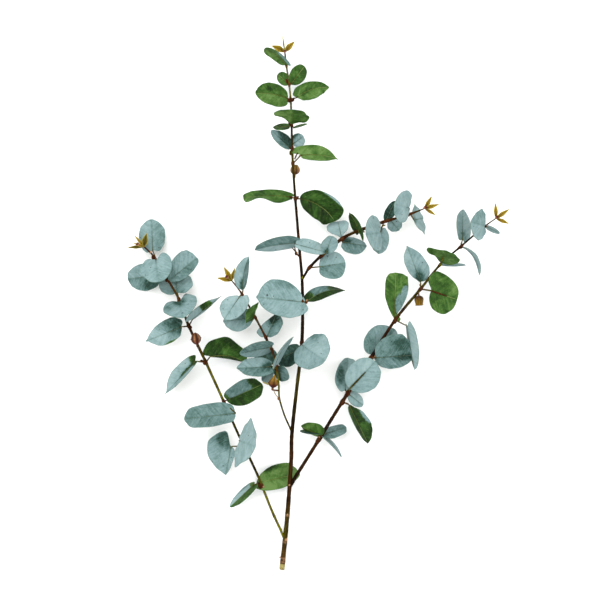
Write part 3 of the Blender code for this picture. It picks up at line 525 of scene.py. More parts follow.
FROST_SHADES = [(0, tone(26, 54, 42)), (1, tone(180, 208, 208)), (0.22, tone(64, 98, 88)),
                (0.46, tone(114, 148, 144)), (0.72, tone(150, 182, 182))]
FROST_EDGE = tone(118, 158, 146)
GREEN_DEEP = tone(32, 68, 16)
GREEN_PALE = tone(120, 158, 86)
GREEN_SHADES = [(0, tone(14, 38, 6)), (1, GREEN_PALE), (0.28, GREEN_DEEP),
                (0.58, tone(62, 105, 38)), (0.78, tone(90, 132, 58))]
VEIN_GREEN = tone(150, 172, 96)
VEIN_FROST = tone(176, 196, 178)
STALK_GREEN = tone(124, 128, 56)
STALK_FROST = tone(112, 134, 112)
SPOT_BROWN = tone(64, 52, 50)
SCAR_PLACE = (-0.0591, 0.0100, 0.0)


def ramp(tree, value, stops):
    """A value turned into a colour between stops, each a place from 0 to 1 and its colour."""
    made = add_node(tree, "ValToRGB", {"Fac": value})
    elements = made.color_ramp.elements
    for index, (place, colour) in enumerate(stops):
        stop = elements[index] if index < 2 else elements.new(place)
        stop.position, stop.color = place, colour
    return made.outputs[0]


def leaf_material():
    """Both faces of a leaf. The face attribute holds frost, shade (the leaf's own tone with painted
    shade in it), own number and nearness to the rim.
    """
    made, tree, shader = new_material("leaf_skin")
    face = add_node(tree, "Attribute", attribute_name="face")
    frost, shade, own = add_node(tree, "SeparateColor", {0: face.outputs["Color"]}).outputs[:3]
    rim = face.outputs["Alpha"]
    blade = add_node(tree, "SeparateXYZ", {0: add_node(tree, "UVMap", uv_map="blade").outputs[0]})
    along, across = blade.outputs[:2]

    blotches = grain(tree, 70, 5, twist=0.6)
    mottle = grain(tree, 420, twist=0.8)
    dust = grain(tree, 1900, 3)
    depth = shifted(tree, shifted(tree, shade, blotches, 0.65), mottle, 0.45)

    side = maths(tree, "ABSOLUTE", across)
    slant = scaled(tree, side, -0.75, along)
    slant = scaled(tree, blotches, 7.0, slant)
    washed = {0: scaled(tree, slant, 0.42), 1: scaled(tree, across, 0.10),
              2: scaled(tree, own, 40.0)}
    wash = add_node(tree, "TexNoise", {"Vector": add_node(tree, "CombineXYZ", washed).outputs[0],
                                       "Scale": 1.0, "Detail": 4.0}).outputs[0]
    depth = shifted(tree, depth, wash, 0.60)
    wave = maths(tree, "SINE", scaled(tree, slant, 1.15))
    vein = scaled(tree, fade(tree, wave, 0.86, 1.0), fade(tree, mottle, 0.40, 0.62))
    vein = scaled(tree, vein, fade(tree, rim, 0.95, 0.7))
    net = add_node(tree, "TexVoronoi", {"Vector": add_node(tree, "TexCoord").outputs["Object"],
                                        "Scale": 620.0}, feature="DISTANCE_TO_EDGE").outputs[0]
    net = fade(tree, net, 0.10, 0.0)
    # Painted shade: darker along the crease over the midrib.
    depth = scaled(tree, fade(tree, side, 2.2, 0.3), -0.10, depth)
    midrib = scaled(tree, fade(tree, side, 0.42, 0.20), fade(tree, rim, 1.0, 0.8))
    lying = scaled(tree, fade(tree, own, 0.48, 0.5), 0.8, 0.2)
    midrib = scaled(tree, midrib, lying)

    frosted = tinted(tree, ramp(tree, depth, FROST_SHADES), fade(tree, rim, 0.93, 1.0), 0.45, FROST_EDGE)
    frosted = tinted(tree, frosted, vein, 0.18, VEIN_FROST)
    frosted = tinted(tree, frosted, midrib, 0.55, STALK_FROST)
    depth = shifted(tree, depth, blotches, 0.9)
    green = tinted(tree, ramp(tree, depth, GREEN_SHADES), fade(tree, rim, 0.97, 1.0), 0.35, GREEN_PALE)
    for line, strength in ((vein, 0.22), (midrib, 0.75), (net, 0.08)):
        green = tinted(tree, green, line, strength, VEIN_GREEN)

    bloom = fade(tree, shifted(tree, frost, mottle, 0.6), 0.35, 0.70)
    colour = blend(tree, bloom, green, frosted)
    colour = tinted(tree, colour, fade(tree, dust, 0.62, 0.74), 0.30, GREEN_DEEP)
    moved = {0: scaled(tree, own, 977.0, along), 1: scaled(tree, own, 311.0, across)}
    spots = add_node(tree, "TexVoronoi", {"Vector": add_node(tree, "CombineXYZ", moved).outputs[0],
                                          "Scale": 0.085}, voronoi_dimensions="2D")
    chosen = add_node(tree, "SeparateColor", {0: spots.outputs["Color"]}).outputs[0]
    spotted = scaled(tree, fade(tree, spots.outputs["Distance"], 0.075, 0.035),
                     fade(tree, chosen, 0.55, 0.85))
    level = add_node(tree, "VectorMath", {0: add_node(tree, "TexCoord").outputs["Object"],
                                          1: (1.0, 1.0, 0.0)}, operation="MULTIPLY").outputs[0]
    away = add_node(tree, "VectorMath", {0: level, 1: SCAR_PLACE}, operation="DISTANCE").outputs["Value"]
    spotted = maths(tree, "MAXIMUM", spotted, fade(tree, away, 0.0015, 0.0008))
    colour = tinted(tree, colour, spotted, 0.80, SPOT_BROWN)
    roughness = scaled(tree, bloom, 0.15, 0.55)
    relief = scaled(tree, vein, -0.7, mottle)
    relief = scaled(tree, net, -0.15, relief)
    finish_shader(tree, shader, colour, roughness, relief, 0.0005, 0.08)
    return made


def arc(distance, span, degrees):
    """Level reach and rise of a strip that bends up evenly by an angle over its span."""
    turn = radians(degrees) * distance / span
    if abs(turn) < 0.001:
        return distance, 0.0
    radius = distance / turn
    return radius * sin(turn), radius * (1 - cos(turn))


def blade_place(x, y, length, left, right, form):
    """Where a point of the unit disc lies on a flat heart-shaped blade with its foot at 0, 0."""
    width, _, widest, lobe = left if y > 0 else right
    tip, foot_end, ends = form
    angle = atan2(y, x)
    forward = cos(angle)
    if forward >= 0:
        along = widest + (1 - widest) * forward
        along += POINT_LENGTH * max(tip, 0.0) * exp(-(angle / POINT_WIDTH) ** 2)
        narrowing = 1 - tip * forward ** 3
    else:
        notch = exp(-((pi - abs(angle)) / NOTCH_WIDTH) ** 2)
        along = widest + (widest + lobe) * forward + lobe * notch
        narrowing = 1 + foot_end * forward ** 3
    across = sin(angle) * narrowing * width
    across *= 1 + ends * exp(-((abs(angle) - pi / 2) / ENDS_WIDTH) ** 2)
    centre = BLADE_CENTRE * length
    reach = hypot(x, y)
    return centre + (along * length - centre) * reach, across * reach


def blade_shape(x, y, length, left, right, bends, form):
    """A point of the unit disc on the tilted, curled and drooping blade, foot at the origin."""
    curl, droop, lean, roll, waviness = bends
    along, across = blade_place(x, y, length, left, right, form)
    side = 1 if y > 0 else -1
    half, tilt = (left if y > 0 else right)[:2]
    out, rise = arc(abs(across), half, curl)
    ripple = waviness * sin(7 * along / length) if side > 0 else 0.0
    lift = radians(tilt + side * roll * (along / length - 0.5) + ripple)
    sideways = side * (out * cos(lift) - rise * sin(lift))
    height = out * sin(lift) + rise * cos(lift)
    forward, bend = arc(along, length, lean)
    heading = radians(lean) * along / length
    forward -= sideways * sin(heading)
    sideways = bend + sideways * cos(heading)
    forward, fall = arc(forward, length, droop)
    return Vector((forward, sideways, height - fall))


def blade_pattern():
    """A flat unit disc with rings from rim to centre, the pattern for every blade."""
    bm = bmesh.new()
    bmesh.ops.create_circle(bm, cap_ends=True, segments=BLADE_RIM, radius=1.0)
    middle = bm.faces[:]
    apothem = cos(pi / BLADE_RIM)
    reach = 1.0
    for ring in BLADE_RINGS:
        bmesh.ops.inset_individual(bm, faces=middle, thickness=(reach - ring) * apothem)
        reach = ring
    bmesh.ops.poke(bm, faces=middle)
    mesh = bpy.data.meshes.new("pattern")
    bm.to_mesh(mesh)
    bm.free()
    return mesh


def aimed(bearing, pitch):
    """The turn from a leaf's or scale's own directions to the sprig's."""
    return Matrix.Rotation(radians(bearing), 3, "Z") @ Matrix.Rotation(radians(-pitch), 3, "Y")


def leaf_frame(row, node):
    return Vector((row[1], row[2], node.z + row[3])), aimed(*row[4:6])


def rim_noise(angle, scale, seed):
    """Soft noise that runs once round a rim and meets itself."""
    return noise.noise(Vector((cos(angle) * scale, sin(angle) * scale, seed)))


def face_shade(along, across, row, code, patches):
    """How frosted and how light the blade is at a point, the lightness with painted shade in it,
    from its two halves and its patches.
    """
    length, left, right = row[6:9]
    left_share = clamped(across / 0.6 * 0.5 + 0.5)
    frost, shade = (b + (a - b) * left_share for a, b in zip(SKINS_AND_PAINTED_SHADE[code[0]], SKINS_AND_PAINTED_SHADE[code[1]]))
    u, v = along / length, across / (left[0] if across > 0 else right[0])
    for _, at, off, reach_along, reach_across, letter in patches:
        gap = hypot((u - at) / reach_along, (v - off) / reach_across)
        share = clamped(1.6 - gap) ** 2
        frost += (SKINS_AND_PAINTED_SHADE[letter][0] - frost) * share
        shade += (SKINS_AND_PAINTED_SHADE[letter][1] - shade) * share
    return frost, shade


def add_blade(bm, pattern, row, node, code, patches, seed):
    """A thin blade with a green and a frosted face, a wavy rim and a crease for the midrib."""
    foot, turn = leaf_frame(row, node)
    shape = row[6:]
    leaf = bmesh.new()
    leaf.from_mesh(pattern)
    face_layer = leaf.verts.layers.float_color.new("face")
    blade_uv = leaf.loops.layers.uv.new("blade")
    standing = row[5] >= STANDING
    own = (seed % 1.0 + (not standing)) / 2
    flat = {}
    for index, vertex in enumerate(leaf.verts):
        angle = atan2(vertex.co.y, vertex.co.x)
        reach = min(vertex.co.length, 1.0)
        x, y = vertex.co.xy * (1 + DENT * rim_noise(angle, 2.6, seed + 9.0) * reach)
        along, across = flat[index] = blade_place(x, y, *shape[:3], shape[4])
        buckle = noise.noise(Vector((along * 0.11, across * 0.11, seed + 40.0)))
        crease = exp(-(across / CREASE_WIDTH) ** 2) * (1.0 - max(x, 0.0))
        place = blade_shape(x, y, *shape)
        place.z += RIM_WAVE * rim_noise(angle, 1.7, seed) * reach ** 3 + BUCKLE * buckle * reach
        place.z -= crease * (STANDING_CREASE if standing else CREASE)
        vertex.co = foot + turn @ place
        vertex.co.z = max(vertex.co.z, BLADE_THICKNESS + 0.1)
        frost, shade = face_shade(along, across, row, code, patches)
        vertex[face_layer] = (frost, shade, own, reach)
    for face in leaf.faces:
        for loop in face.loops:
            loop[blade_uv].uv = flat[loop.vert.index]
    leaf.normal_update()
    if sum(face.normal.z for face in leaf.faces) < 0:
        bmesh.ops.reverse_faces(leaf, faces=leaf.faces)
        leaf.normal_update()
    upper_rim = [edge for edge in leaf.edges if edge.is_boundary]
    copied = bmesh.ops.duplicate(leaf, geom=leaf.faces[:])["geom"]
    under = [item for item in copied if isinstance(item, bmesh.types.BMVert)]
    for vertex in under:
        vertex.co -= vertex.normal * BLADE_THICKNESS
        vertex.co.z = max(vertex.co.z, 0.05)
        vertex[face_layer] = (1.0 - vertex[face_layer][0], 0.60, own, vertex[face_layer][3])
    under_faces = [item for item in copied if isinstance(item, bmesh.types.BMFace)]
    under_rim = [item for item in copied if isinstance(item, bmesh.types.BMEdge) and item.is_boundary]
    bmesh.ops.reverse_faces(leaf, faces=under_faces)
    bmesh.ops.bridge_loops(leaf, edges=upper_rim + under_rim)
    merge_into(bm, leaf)


def merge_into(bm, extra):
    """Move all of one bmesh into another."""
    mesh = bpy.data.meshes.new("extra")
    extra.to_mesh(mesh)
    extra.free()
    bm.from_mesh(mesh)
    bpy.data.meshes.remove(mesh)


def add_stalk(bm, row, node, code):
    """The leaf stalk from the stem's heart to the blade's foot, running on as the midrib."""
    foot, turn = leaf_frame(row, node)
    bare = (foot - node).length
    bend = node.lerp(foot, 0.6) + Vector((0, 0, 0.1 * bare))
    route = [node, bend, foot] if bare > 2.5 else [node, foot]
    raised = len(code) > 2
    for share in MIDRIB_SHARES[:5 if raised else 2 if row[5] >= STANDING else None]:
        beyond = BLADE_CENTRE if share < BLADE_CENTRE else 1 - BLADE_CENTRE
        x = (share - BLADE_CENTRE) / beyond
        place = blade_shape(x, 0.0, *row[6:])
        place.z += 0.5 if raised else -0.25 - 0.3 * (1.0 - max(x, 0.0))
        route.append(foot + turn @ place)
    for place in route:
        place.z = max(place.z, 1.0)
    course = smooth_course(route, 1.5)
    blade_colour = STALK_FROST if SKINS_AND_PAINTED_SHADE[code[0]][0] else STALK_GREEN
    if raised:
        blade_colour = BARKS[code[2]]
    gone = [0.0]
    for low, high in zip(course, course[1:]):
        gone.append(gone[-1] + (high - low).length)

    def radius_at(index, point):
        beyond = max(gone[index] - bare, 0.0) / (gone[-1] - bare)
        if raised:
            return STALK_RADIUS - 0.55 * beyond ** 3
        return STALK_RADIUS - 0.30 * min(gone[index] / (bare + 1.0), 1.0) - 0.52 * beyond ** 0.4

    def tint_at(index, point):
        reddish = mixed(BARKS["r"], STALK_GREEN, gone[index] / (bare + 4.0))
        return mixed(reddish, blade_colour, (gone[index] - bare) / 5.0)

    add_tube(bm, course, radius_at, tint_at, 8)


leaf_skin = leaf_material()
pattern = blade_pattern()
for stem_name in STEMS:
    wood = new_wood()
    add_stem(wood, stem_name, sorted({row[0] for row in LEAVES[stem_name]}))
    blades = bmesh.new()
    blades.verts.layers.float_color.new("face")
    blades.loops.layers.uv.new("blade")
    codes = FACES_AND_PAINTED_SHADE[stem_name].split()
    for index, row in enumerate(map(whole_leaf, LEAVES[stem_name])):
        node = stem_at(stem_name, row[0])
        patches = [patch for patch in PATCHES[stem_name] if patch[0] == index]
        add_blade(blades, pattern, row, node, codes[index], patches, index * 7.31 + len(stem_name) * 1.37)
        add_stalk(wood, row, node, codes[index])
    finish_piece(stem_name + "_wood", wood, bark, "leaf", stem_name)
    finish_piece(stem_name + "_leaves", blades, leaf_skin, "leaf", stem_name)

# The gum nuts. Woody ribbed buds and capsules on the branches: a cup that narrows to its stalk,
# a ring where the cap sits, and a domed cap or an open mouth. Reddish brown, golden where they
# are young, with painted shade darkening the grooves between the ribs and a painted highlight
# along the middle of each rib.
NUT_SIDES = 60
RIB_DEPTH = 0.07
NUT_BROWN = tone(136, 84, 44)
NUT_RED = tone(128, 52, 28)
NUT_WINE = tone(96, 30, 14)
NUT_DARK = tone(86, 54, 12)
NUT_GOLD = tone(196, 152, 50)
NUT_OLIVE = tone(152, 116, 14)
# Dark for the painted shade in the nuts' grooves and for the stains on the husks.
NUT_GROOVE_SHADE_AND_STAIN = tone(44, 16, 8)
# Painted highlight on the nuts' ribs.
NUT_PAINTED_HIGHLIGHT = tone(222, 158, 108)
CAPPED = [(0, 0.14), (0.03, 0.26), (0.1, 0.52), (0.2, 0.76), (0.32, 0.92), (0.42, 0.98), (0.46, 1.05),
          (0.5, 1.08), (0.54, 1.04), (0.58, 0.97), (0.68, 0.88), (0.8, 0.7), (0.9, 0.46), (0.96, 0.24),
          (0.99, 0.1), (1, 0.03)]
POINTED = [(0, 0.12), (0.04, 0.3), (0.12, 0.62), (0.22, 0.88), (0.3, 1), (0.34, 1.06), (0.38, 1.04),
           (0.42, 0.97), (0.52, 0.84), (0.64, 0.64), (0.76, 0.44), (0.88, 0.26), (0.96, 0.13), (1, 0.04)]
ROUND = [(0, 0.16), (0.04, 0.36), (0.12, 0.66), (0.24, 0.9), (0.38, 1), (0.54, 1), (0.7, 0.88),
         (0.82, 0.7), (0.9, 0.56), (0.94, 0.54), (0.96, 0.48), (0.95, 0.36), (0.92, 0.3), (0.95, 0.12),
         (0.97, 0.03)]
URN = [(0, 0.2), (0.05, 0.5), (0.14, 0.8), (0.28, 0.98), (0.44, 1), (0.6, 0.93), (0.76, 0.84),
       (0.88, 0.82), (0.95, 0.86), (0.99, 0.84), (1, 0.74), (0.95, 0.64), (0.88, 0.56), (0.86, 0.36),
       (0.9, 0.12), (0.91, 0.03)]

# Each gum nut: the stem and the height up the sprig where its stalk leaves, the foot of the nut,
# the direction it points, its length and width, then its outline, ribs, foot and tip colours and
# how strong the painted highlight on its ribs and the painted shade in its grooves are.
NUTS = {
    "gum_nut_leader": ("leafy_main_stem", 140, (-27.8, 146.5, 22.0), (0.02, 0.99, 0.02), 12, 10.5,
                       ROUND, 7, NUT_BROWN, NUT_GOLD, 0.6),
    "gum_nut_left": ("leafy_branch_left", -50, (-138.6, -46.0, 33.6), (-0.15, 0.98, 0.08), 14, 11,
                     CAPPED, 6, NUT_RED, NUT_BROWN, 0.8),
    "gum_nut_right": ("leafy_branch_right", 12, (112.4, 9.6, 30.0), (0.06, -0.98, 0.05), 11.4, 9.8,
                      URN, 8, NUT_DARK, NUT_OLIVE, -0.5),
    "gum_nut_mid_left": ("leafy_branch_mid_left", -98, (-53.0, -95.0, 37.5), (0.16, 0.97, 0.05), 15,
                         11.5, POINTED, 5, NUT_WINE, NUT_GOLD, 0.2),
}


def husk_material(name, stain):
    """Dry woody husk or scale: its own tint with fine streaks, stained by a share."""
    made, tree, shader = new_material(name)
    tint = add_node(tree, "Attribute", attribute_name="tint").outputs["Color"]
    streaks = grain(tree, 1300, 5, (1, 0.25, 1), 0.5)
    blots = grain(tree, 500, 3)
    streaked = scaled(tree, fade(tree, streaks, 0.40, 0.70), stain)
    colour = blend(tree, streaked, tint, BARK_SHADOW, "MULTIPLY")
    colour = tinted(tree, colour, fade(tree, blots, 0.5, 0.7), stain * 0.4, NUT_GROOVE_SHADE_AND_STAIN)
    finish_shader(tree, shader, colour, 0.42, streaks, 0.0004)
    return made


def add_turned(bm, foot, ahead, profile, colour_at, sides=NUT_SIDES, ribs=0, depth=0.0):
    """A closed body of rings round an axis, from pairs of height along it and radius.

    colour_at gives the tint for how far along a point is and how deep in a groove.
    """
    tint = bm.verts.layers.float_color["tint"]
    side = ahead.orthogonal().normalized()
    up = ahead.cross(side)
    ring, edges = new_ring(bm, sides)
    around = {vertex: atan2(vertex.co.y, vertex.co.x) for vertex in ring}
    length = profile[-1][0]
    for index, (height, radius) in enumerate(profile):
        if index:
            start = {tuple(vertex.co): turn for vertex, turn in around.items()}
            ring, edges = pushed_ring(bm, edges)
            around = {vertex: start[tuple(vertex.co)] for vertex in ring}
        for vertex, turn in around.items():
            swell = depth * cos(ribs * turn) * min(radius / length * 4, 1.0)
            out = side * cos(turn) + up * sin(turn)
            vertex.co = foot + ahead * height + out * radius * (1 + swell)
            vertex[tint] = colour_at(height / length, 0.5 - 0.5 * cos(ribs * turn))
    bmesh.ops.contextual_create(bm, geom=edges)


def sized(outline, length, width):
    """An outline of shares made as long and as wide as the real thing."""
    return [(length * along, width / 2 * radius) for along, radius in outline]


def add_nut(bm, nut):
    foot, facing, length, width, outline, ribs, foot_colour, tip_colour, shine = nut[2:]

    def colour_at(along, groove):
        colour = mixed(foot_colour, tip_colour, along * 2.2 - 0.5)
        # Painted highlight along the middle of the ribs, painted shade in the grooves.
        colour = mixed(colour, NUT_PAINTED_HIGHLIGHT, shine * (1 - groove) ** 3 * exp(-((along - 0.5) / 0.3) ** 2))
        return mixed(colour, NUT_GROOVE_SHADE_AND_STAIN, (0.5 + 0.5 * shine) * groove ** 1.5)

    add_turned(bm, Vector(foot), Vector(facing).normalized(), sized(outline, length, width), colour_at,
               ribs=ribs, depth=RIB_DEPTH)


def add_nut_stalk(bm, nut):
    node = stem_at(nut[0], nut[1])
    foot, ahead = Vector(nut[2]), Vector(nut[3]).normalized()
    course = smooth_course([node, foot - ahead * 2.0, foot + ahead * 0.8], 0.8)
    count = len(course) - 1
    add_tube(bm, course, lambda index, point: 0.95 - 0.15 * index / count,
             lambda index, point: mixed(BARKS["r"], NUT_BROWN, index / count), 12)


husk = husk_material("husk", 0.8)
bud_scale = husk_material("bud_scale", 0.35)
for nut_name, nut in NUTS.items():
    body = new_wood()
    add_nut(body, nut)
    finish_piece(nut_name + "_husk", body, husk, "nut", nut_name)
    stalk = new_wood()
    add_nut_stalk(stalk, nut)
    finish_piece(nut_name + "_stalk", stalk, bark, "leaf", nut[0])


# Small parts on the bark: resting buds, leaf scars, knobs where pairs have grown, stubs of broken
# twigs and a few loose fibres. Woody and reddish brown, with pale cork where something fell off.
BUD_OUTLINE = [(0, 0.45), (0.12, 0.78), (0.35, 1), (0.6, 0.92), (0.85, 0.55), (0.97, 0.2), (1, 0.05)]

# Each bud or knob: x, y, bearing, length and width, and for some how far it stands over the stem
# and its bark letter.
BUDS = {
    "leafy_main_stem": [
        (-32.6, 168.5, 95, 5, 3, 1, "o"), (-23.2, 166.8, 40, 3.2, 2.2, 2, "p"),
        (-33.6, 228.4, 112, 5, 4.2), (-31.8, 229.6, 50, 5, 4), (-31, 118.5, 130, 4.5, 3.8),
        (-26.6, 118.5, 50, 4.8, 3.8), (-26.2, 55, 100, 5, 3.2, 0.5), (-25.2, 57.5, 110, 2, 1.6, 1.6, "p"),
        (-17, 0.5, 40, 5, 4.2, 0.4), (-14.6, 3, 60, 2.8, 2.4, 1.6, "p"),
        (-19.6, 28.4, 80, 3.2, 2.4, 1.2, "y"), (-33, 203, 110, 5, 3.8),
        (-36.9, -241, 60, 2.6, 1.8, 2.2, "p"), (-38.6, -270.4, 70, 3.6, 3, 2.6, "p"),
        (-43.6, -289.4, 160, 2.4, 1.6, 2.2, "p"), (-41.2, -292.6, 20, 2.2, 1.4, 2.2, "p"),
        (-32.9, -205.5, 200, 3, 2, 2, "p"), (-42.3, -300.4, 280, 1.2, 4.4, 0.4, "s"),
        (-36, 250, 110, 6, 3, 0.4), (-31.2, 174, 80, 6, 3.8, 0.8)],
    "leafy_branch_left": [
        (-190.8, 57.8, 120, 2.6, 2, 1.2, "p"), (-188.3, 50.5, 110, 5, 3.8),
        (-66.6, -210.6, 100, 7.5, 5.2, 0.8), (-63.7, -209, 80, 2.4, 2, 2, "p"),
        (-65, -212.5, 90, 2.4, 1.8, 1.6, "p"), (-68.2, -205, 120, 2.4, 1.8, 1.6, "k"),
        (-129.2, -69, 110, 6, 4.6), (-131.6, -64.6, 170, 4, 2.6, 0.8), (-108, -113.6, 100, 6, 4.6),
        (-145.2, -28, 120, 5, 3.8), (-158.6, 1, 110, 5.5, 4), (-172.6, 25, 120, 5, 3.6)],
    "leafy_branch_mid_left": [
        (-45.6, -109, 110, 4.2, 3.2, 0.6, "p"), (-85.8, 8.6, 130, 5, 3.4, 0.4),
        (-71.6, -17.4, 120, 5, 3.4, 0.4), (-57.6, -45, 120, 6, 3.6, 0.4)],
    "leafy_branch_right": [
        (83.6, -22, 50, 7, 4.8, 0.8), (89.4, -19.6, 70, 5, 3.4, 1, "g"), (86.2, -14, 120, 4.6, 3, 1, "g"),
        (62.6, -60, 60, 2.4, 1.8, 1.4, "p"), (57.4, -64, 50, 6, 4.6), (32, -101, 60, 6, 4.6, 0.8),
        (25, -114.5, 60, 6, 4.8, 0.8), (28.4, -112.6, 0, 4, 2, 1.8, "p"), (-3.6, -158, 60, 7, 4.6, 0.8),
        (-0.6, -151.8, 60, 2.2, 1.8, 1.8, "p"), (112.8, 15, 50, 6, 4),
        (113.8, 20.6, 90, 2.4, 1.8, 1.4, "p"), (158.6, 63, 40, 6, 4.2, 0.8),
        (160.6, 67.6, 80, 2.6, 2, 1.4, "y"), (136.4, 43, 60, 5, 3.4, 0.6, "y"), (185.6, 85.6, 40, 5, 3.2)],
    "leafy_branch_upper_right": [
        (48.4, 82.2, 340, 3.4, 2, 1.2, "p"), (71.6, 88.6, 10, 3.4, 2, 1.2, "y"),
        (55.6, 89, 80, 4.6, 3, 1.2, "g"), (46, 83, 20, 5, 3.2), (24.6, 72.4, 40, 5, 3.2),
        (98.6, 99.6, 20, 5, 3.2), (7.4, 58.6, 50, 4, 3)],
}

# Each stub or fibre: its route, its radius at both ends and its bark letters.
TWIGS = {
    "leafy_main_stem": [
        ([(-23.6, 54, 31.5), (-26.6, 58.6, 33), (-30.8, 63.4, 34)], 0.95, 0.6, "rb"),
        ([(-26.2, 58, 33), (-27.4, 61, 34), (-28, 64.6, 35)], 0.8, 0.55, "rb"),
        ([(-28, 164, 30.5), (-26.2, 168, 32.5), (-24.6, 171, 33.5)], 0.9, 0.6, "rb")],
    "leafy_branch_mid_left": [
        ([(-53.6, -91, 37), (-58, -90.4, 38.8), (-64.2, -88.2, 39.2)], 1.2, 0.6, "ys"),
        ([(-46.6, -106, 29.6), (-50.4, -101, 33), (-52.6, -94, 36)], 0.5, 0.45, "ps"),
        ([(-54, -93, 36), (-51.8, -98, 37), (-49.6, -102.4, 36.4)], 0.35, 0.2, "pp")],
    "leafy_branch_right": [
        ([(25.8, -112.2, 26), (29.4, -112, 27.6), (33.2, -113.4, 28.4)], 0.9, 0.5, "rb")],
}


def add_bud(bm, stem_name, x, y, bearing, length, width, lift=0.6, letter="r"):
    foot = Vector((x, y, stem_at(stem_name, y).z + lift))
    ahead = Vector((cos(radians(bearing)), sin(radians(bearing)), 0.15)).normalized()

    def colour_at(along, groove):
        return mixed(BARKS[letter], BARKS["k"], 0.6 * groove ** 2 * (1 - along))

    add_turned(bm, foot, ahead, sized(BUD_OUTLINE, length, width), colour_at, 24, 4, 0.06)


def add_twig(bm, route, start_radius, end_radius, letters):
    course = smooth_course(route, 0.8)
    count = len(course) - 1
    add_tube(bm, course, lambda index, point: start_radius + (end_radius - start_radius) * index / count,
             lambda index, point: mixed(BARKS[letters[0]], BARKS[letters[1]], index / count), 10)


for stem_name, buds in BUDS.items():
    body = new_wood()
    for row in buds:
        add_bud(body, stem_name, *row)
    for row in TWIGS.get(stem_name, []):
        add_twig(body, *row)
    finish_piece(stem_name + "_buds", body, bark, "leaf", stem_name)


# The bud stars. At each shoot tip a few young leaves not yet opened: pointed keeled scales,
# golden olive with a paler rim, round a small pinkish growing point with a dark eye.
STAR_DARK = tone(74, 48, 14)
STAR_RIM = tone(232, 214, 96)
HEART_PINK = tone(238, 174, 144)
HEART_DARK = tone(112, 54, 38)
HEART_RADIUS = 1.9
HEART_OUTLINE = [(0, 0.5), (0.8, 0.7), (1.8, 0.92), (2.6, 1), (3.6, 0.9), (4.2, 0.62), (4.4, 0.4),
                 (4.2, 0.28), (3.4, 0.16)]
CUP_OUTLINE = [(0, 0.45), (1.2, 0.9), (2.6, 1.3), (3.4, 1), (3.6, 0.3)]
KEEL = 34
SCALE_THICKNESS = 0.45

# Each bud star: the stem whose end it sits on, how far off its heart lies, and its scales as
# bearing, pitch, length, width and colour: g gold, o olive, n a green needle.
STARS = {
    "bud_star_leader": ("leafy_main_stem", (0, 0.5, 0),
                        [(156, 10, 16.5, 7.4, "g"), (45, 12, 16.5, 7.0, "g"), (98, 22, 21.0, 2.2, "n"),
                         (124, 40, 6, 2.4, "n"), (72, 40, 6, 2.4, "n")]),
    "bud_star_left": ("leafy_branch_left", (-7.0, 2.6, 2.2),
                      [(130, 10, 17, 3.4, "g"), (78, 14, 16, 7.4, "o"), (183, -6, 18.5, 3.6, "o"),
                       (162, 22, 14, 3.4, "g")]),
    "bud_star_mid_left": ("leafy_branch_mid_left", (-5.4, 4.0, 2.0),
                          [(120, 8, 18, 6, "g"), (76, 12, 15, 4.8, "g"), (170, 6, 16.5, 5, "g")]),
    "bud_star_right": ("leafy_branch_right", (0.5, 1.0, 1.5),
                       [(93, 10, 18, 5, "g"), (35, 14, 19, 5.4, "g"), (-23, 4, 16, 4.8, "g")]),
    "bud_star_upper_right": ("leafy_branch_upper_right", (0.2, 1.0, 2.4),
                             [(60, 8, 16, 4.6, "g"), (16, 16, 17.5, 5.2, "g"), (-32, 2, 14.5, 4.2, "g")]),
}
SCALE_SKINS = {"g": (tone(230, 202, 72), tone(122, 88, 14)), "o": (tone(150, 140, 50), tone(70, 58, 14)),
               "n": (tone(196, 196, 112), tone(120, 138, 60))}


def add_scale(bm, heart, bearing, pitch, length, width, skin, seed):
    """A pointed young leaf folded along its keel, golden with a dark foot and a pale rim."""
    scale = bmesh.new()
    scale.from_mesh(pattern)
    tint = scale.verts.layers.float_color.new("tint")
    turn = aimed(bearing, pitch)
    fold = radians(KEEL)
    pale, dark = SCALE_SKINS[skin]
    for vertex in scale.verts:
        x, y, reach = vertex.co.x, vertex.co.y, vertex.co.length
        along = (x + 1) / 2
        half = width / 2 * (1 - 0.62 * max(x, 0.0)) * (1 - 0.25 * max(-x, 0.0)) / cos(fold)
        across = y * half
        rise = abs(across) * sin(fold) + sin(along * pi) * 0.06 * length
        place = Vector((along * length, across * cos(fold), rise))
        place.z += 0.15 * noise.noise(Vector((along * 6, y * 3, seed)))
        vertex.co = heart + turn @ place
        colour = mixed(dark, pale, along * 1.1 + 0.5 * noise.noise(place * 0.7))
        colour = mixed(colour, STAR_DARK, 0.5 * exp(-(along / 0.16) ** 2))
        colour = mixed(colour, dark, 0.75 * exp(-(across / (0.22 * width)) ** 2))
        vertex[tint] = mixed(colour, STAR_RIM, (reach - 0.80) / 0.20 * 0.7)
    scale.normal_update()
    bmesh.ops.recalc_face_normals(scale, faces=scale.faces)
    bmesh.ops.solidify(scale, geom=scale.faces[:], thickness=SCALE_THICKNESS)
    merge_into(bm, scale)


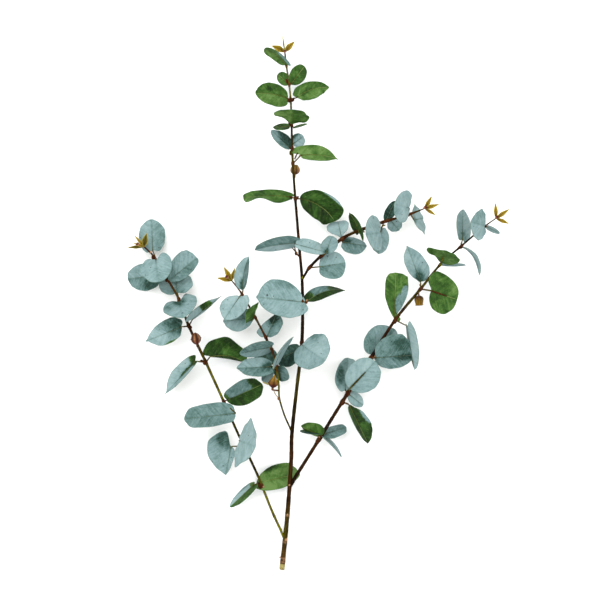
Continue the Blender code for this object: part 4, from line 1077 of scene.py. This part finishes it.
def add_star(bm, name):
    stem_name, offset, scales = STARS[name]
    course = smooth_course(STEMS[stem_name][0], STEM_STEP)
    ahead = (course[-1] - course[-2]).normalized()
    foot = course[-1] - ahead * 0.4
    profile = [(along, HEART_RADIUS * radius) for along, radius in HEART_OUTLINE]

    def colour_at(along, groove):
        colour = mixed(STAR_DARK, HEART_PINK, along * 2.4 - 0.2)
        colour = mixed(colour, HEART_DARK, (along - 0.92) * 12)
        return mixed(colour, HEART_DARK, 0.35 * groove)

    add_turned(bm, foot, ahead, CUP_OUTLINE, lambda along, groove: mixed(BARKS["r"], STAR_DARK, along), 20)
    upwards = (ahead + Vector((0, 0, 1.2))).normalized()
    add_turned(bm, foot + Vector(offset), upwards, profile, colour_at, 24, 4, 0.08)
    for index, row in enumerate(scales):
        add_scale(bm, foot + ahead * 1.6, *row, index * 3.1)


for star_name in STARS:
    body = new_wood()
    add_star(body, star_name)
    finish_piece(star_name + "_scales", body, bud_scale, "bract", star_name)


# The table top it lies on, and the studio around it: a pale floor and broad soft lights.
floor_mesh = bpy.data.meshes.new("floor")
floor_bm = bmesh.new()
bmesh.ops.create_grid(floor_bm, x_segments=1, y_segments=1, size=3.0)
floor_bm.to_mesh(floor_mesh)
floor_bm.free()
floor_paper, floor_tree, floor_shader = new_material("paper")
feed(floor_tree, floor_shader, {"Base Color": (0.96, 0.96, 0.96, 1.0), "Roughness": 0.9})
floor_mesh.materials.append(floor_paper)
floor = bpy.data.objects.new("floor", floor_mesh)
floor.location.z = -0.0002
bpy.context.scene.collection.objects.link(floor)


def soft_light(name, place, size, power):
    lamp = bpy.data.lights.new(name, "AREA")
    lamp.shape = "DISK"
    lamp.size = size
    lamp.energy = power
    light = bpy.data.objects.new(name, lamp)
    light.location = place
    light.rotation_mode = "QUATERNION"
    light.rotation_quaternion = (-Vector(place)).to_track_quat("-Z", "Y")
    bpy.context.scene.collection.objects.link(light)


soft_light("key", (-0.9, 1.0, 1.9), 2.6, 54)
soft_light("fill", (1.2, -0.6, 1.7), 2.4, 22)

world = bpy.data.worlds.new("studio")
world.use_nodes = True
feed(world.node_tree, world.node_tree.nodes["Background"],
     {"Color": (1.0, 1.0, 1.0, 1.0), "Strength": 1.10})
bpy.context.scene.world = world

eye = bpy.data.cameras.new("eye")
eye.lens = 159.0
eye.clip_start = 0.1
eye.clip_end = 20.0
camera = bpy.data.objects.new("eye", eye)
camera.location = (-0.0220, 0.0045, 3.03)
bpy.context.scene.collection.objects.link(camera)
bpy.context.scene.camera = camera
bpy.context.scene.view_settings.view_transform = "Standard"
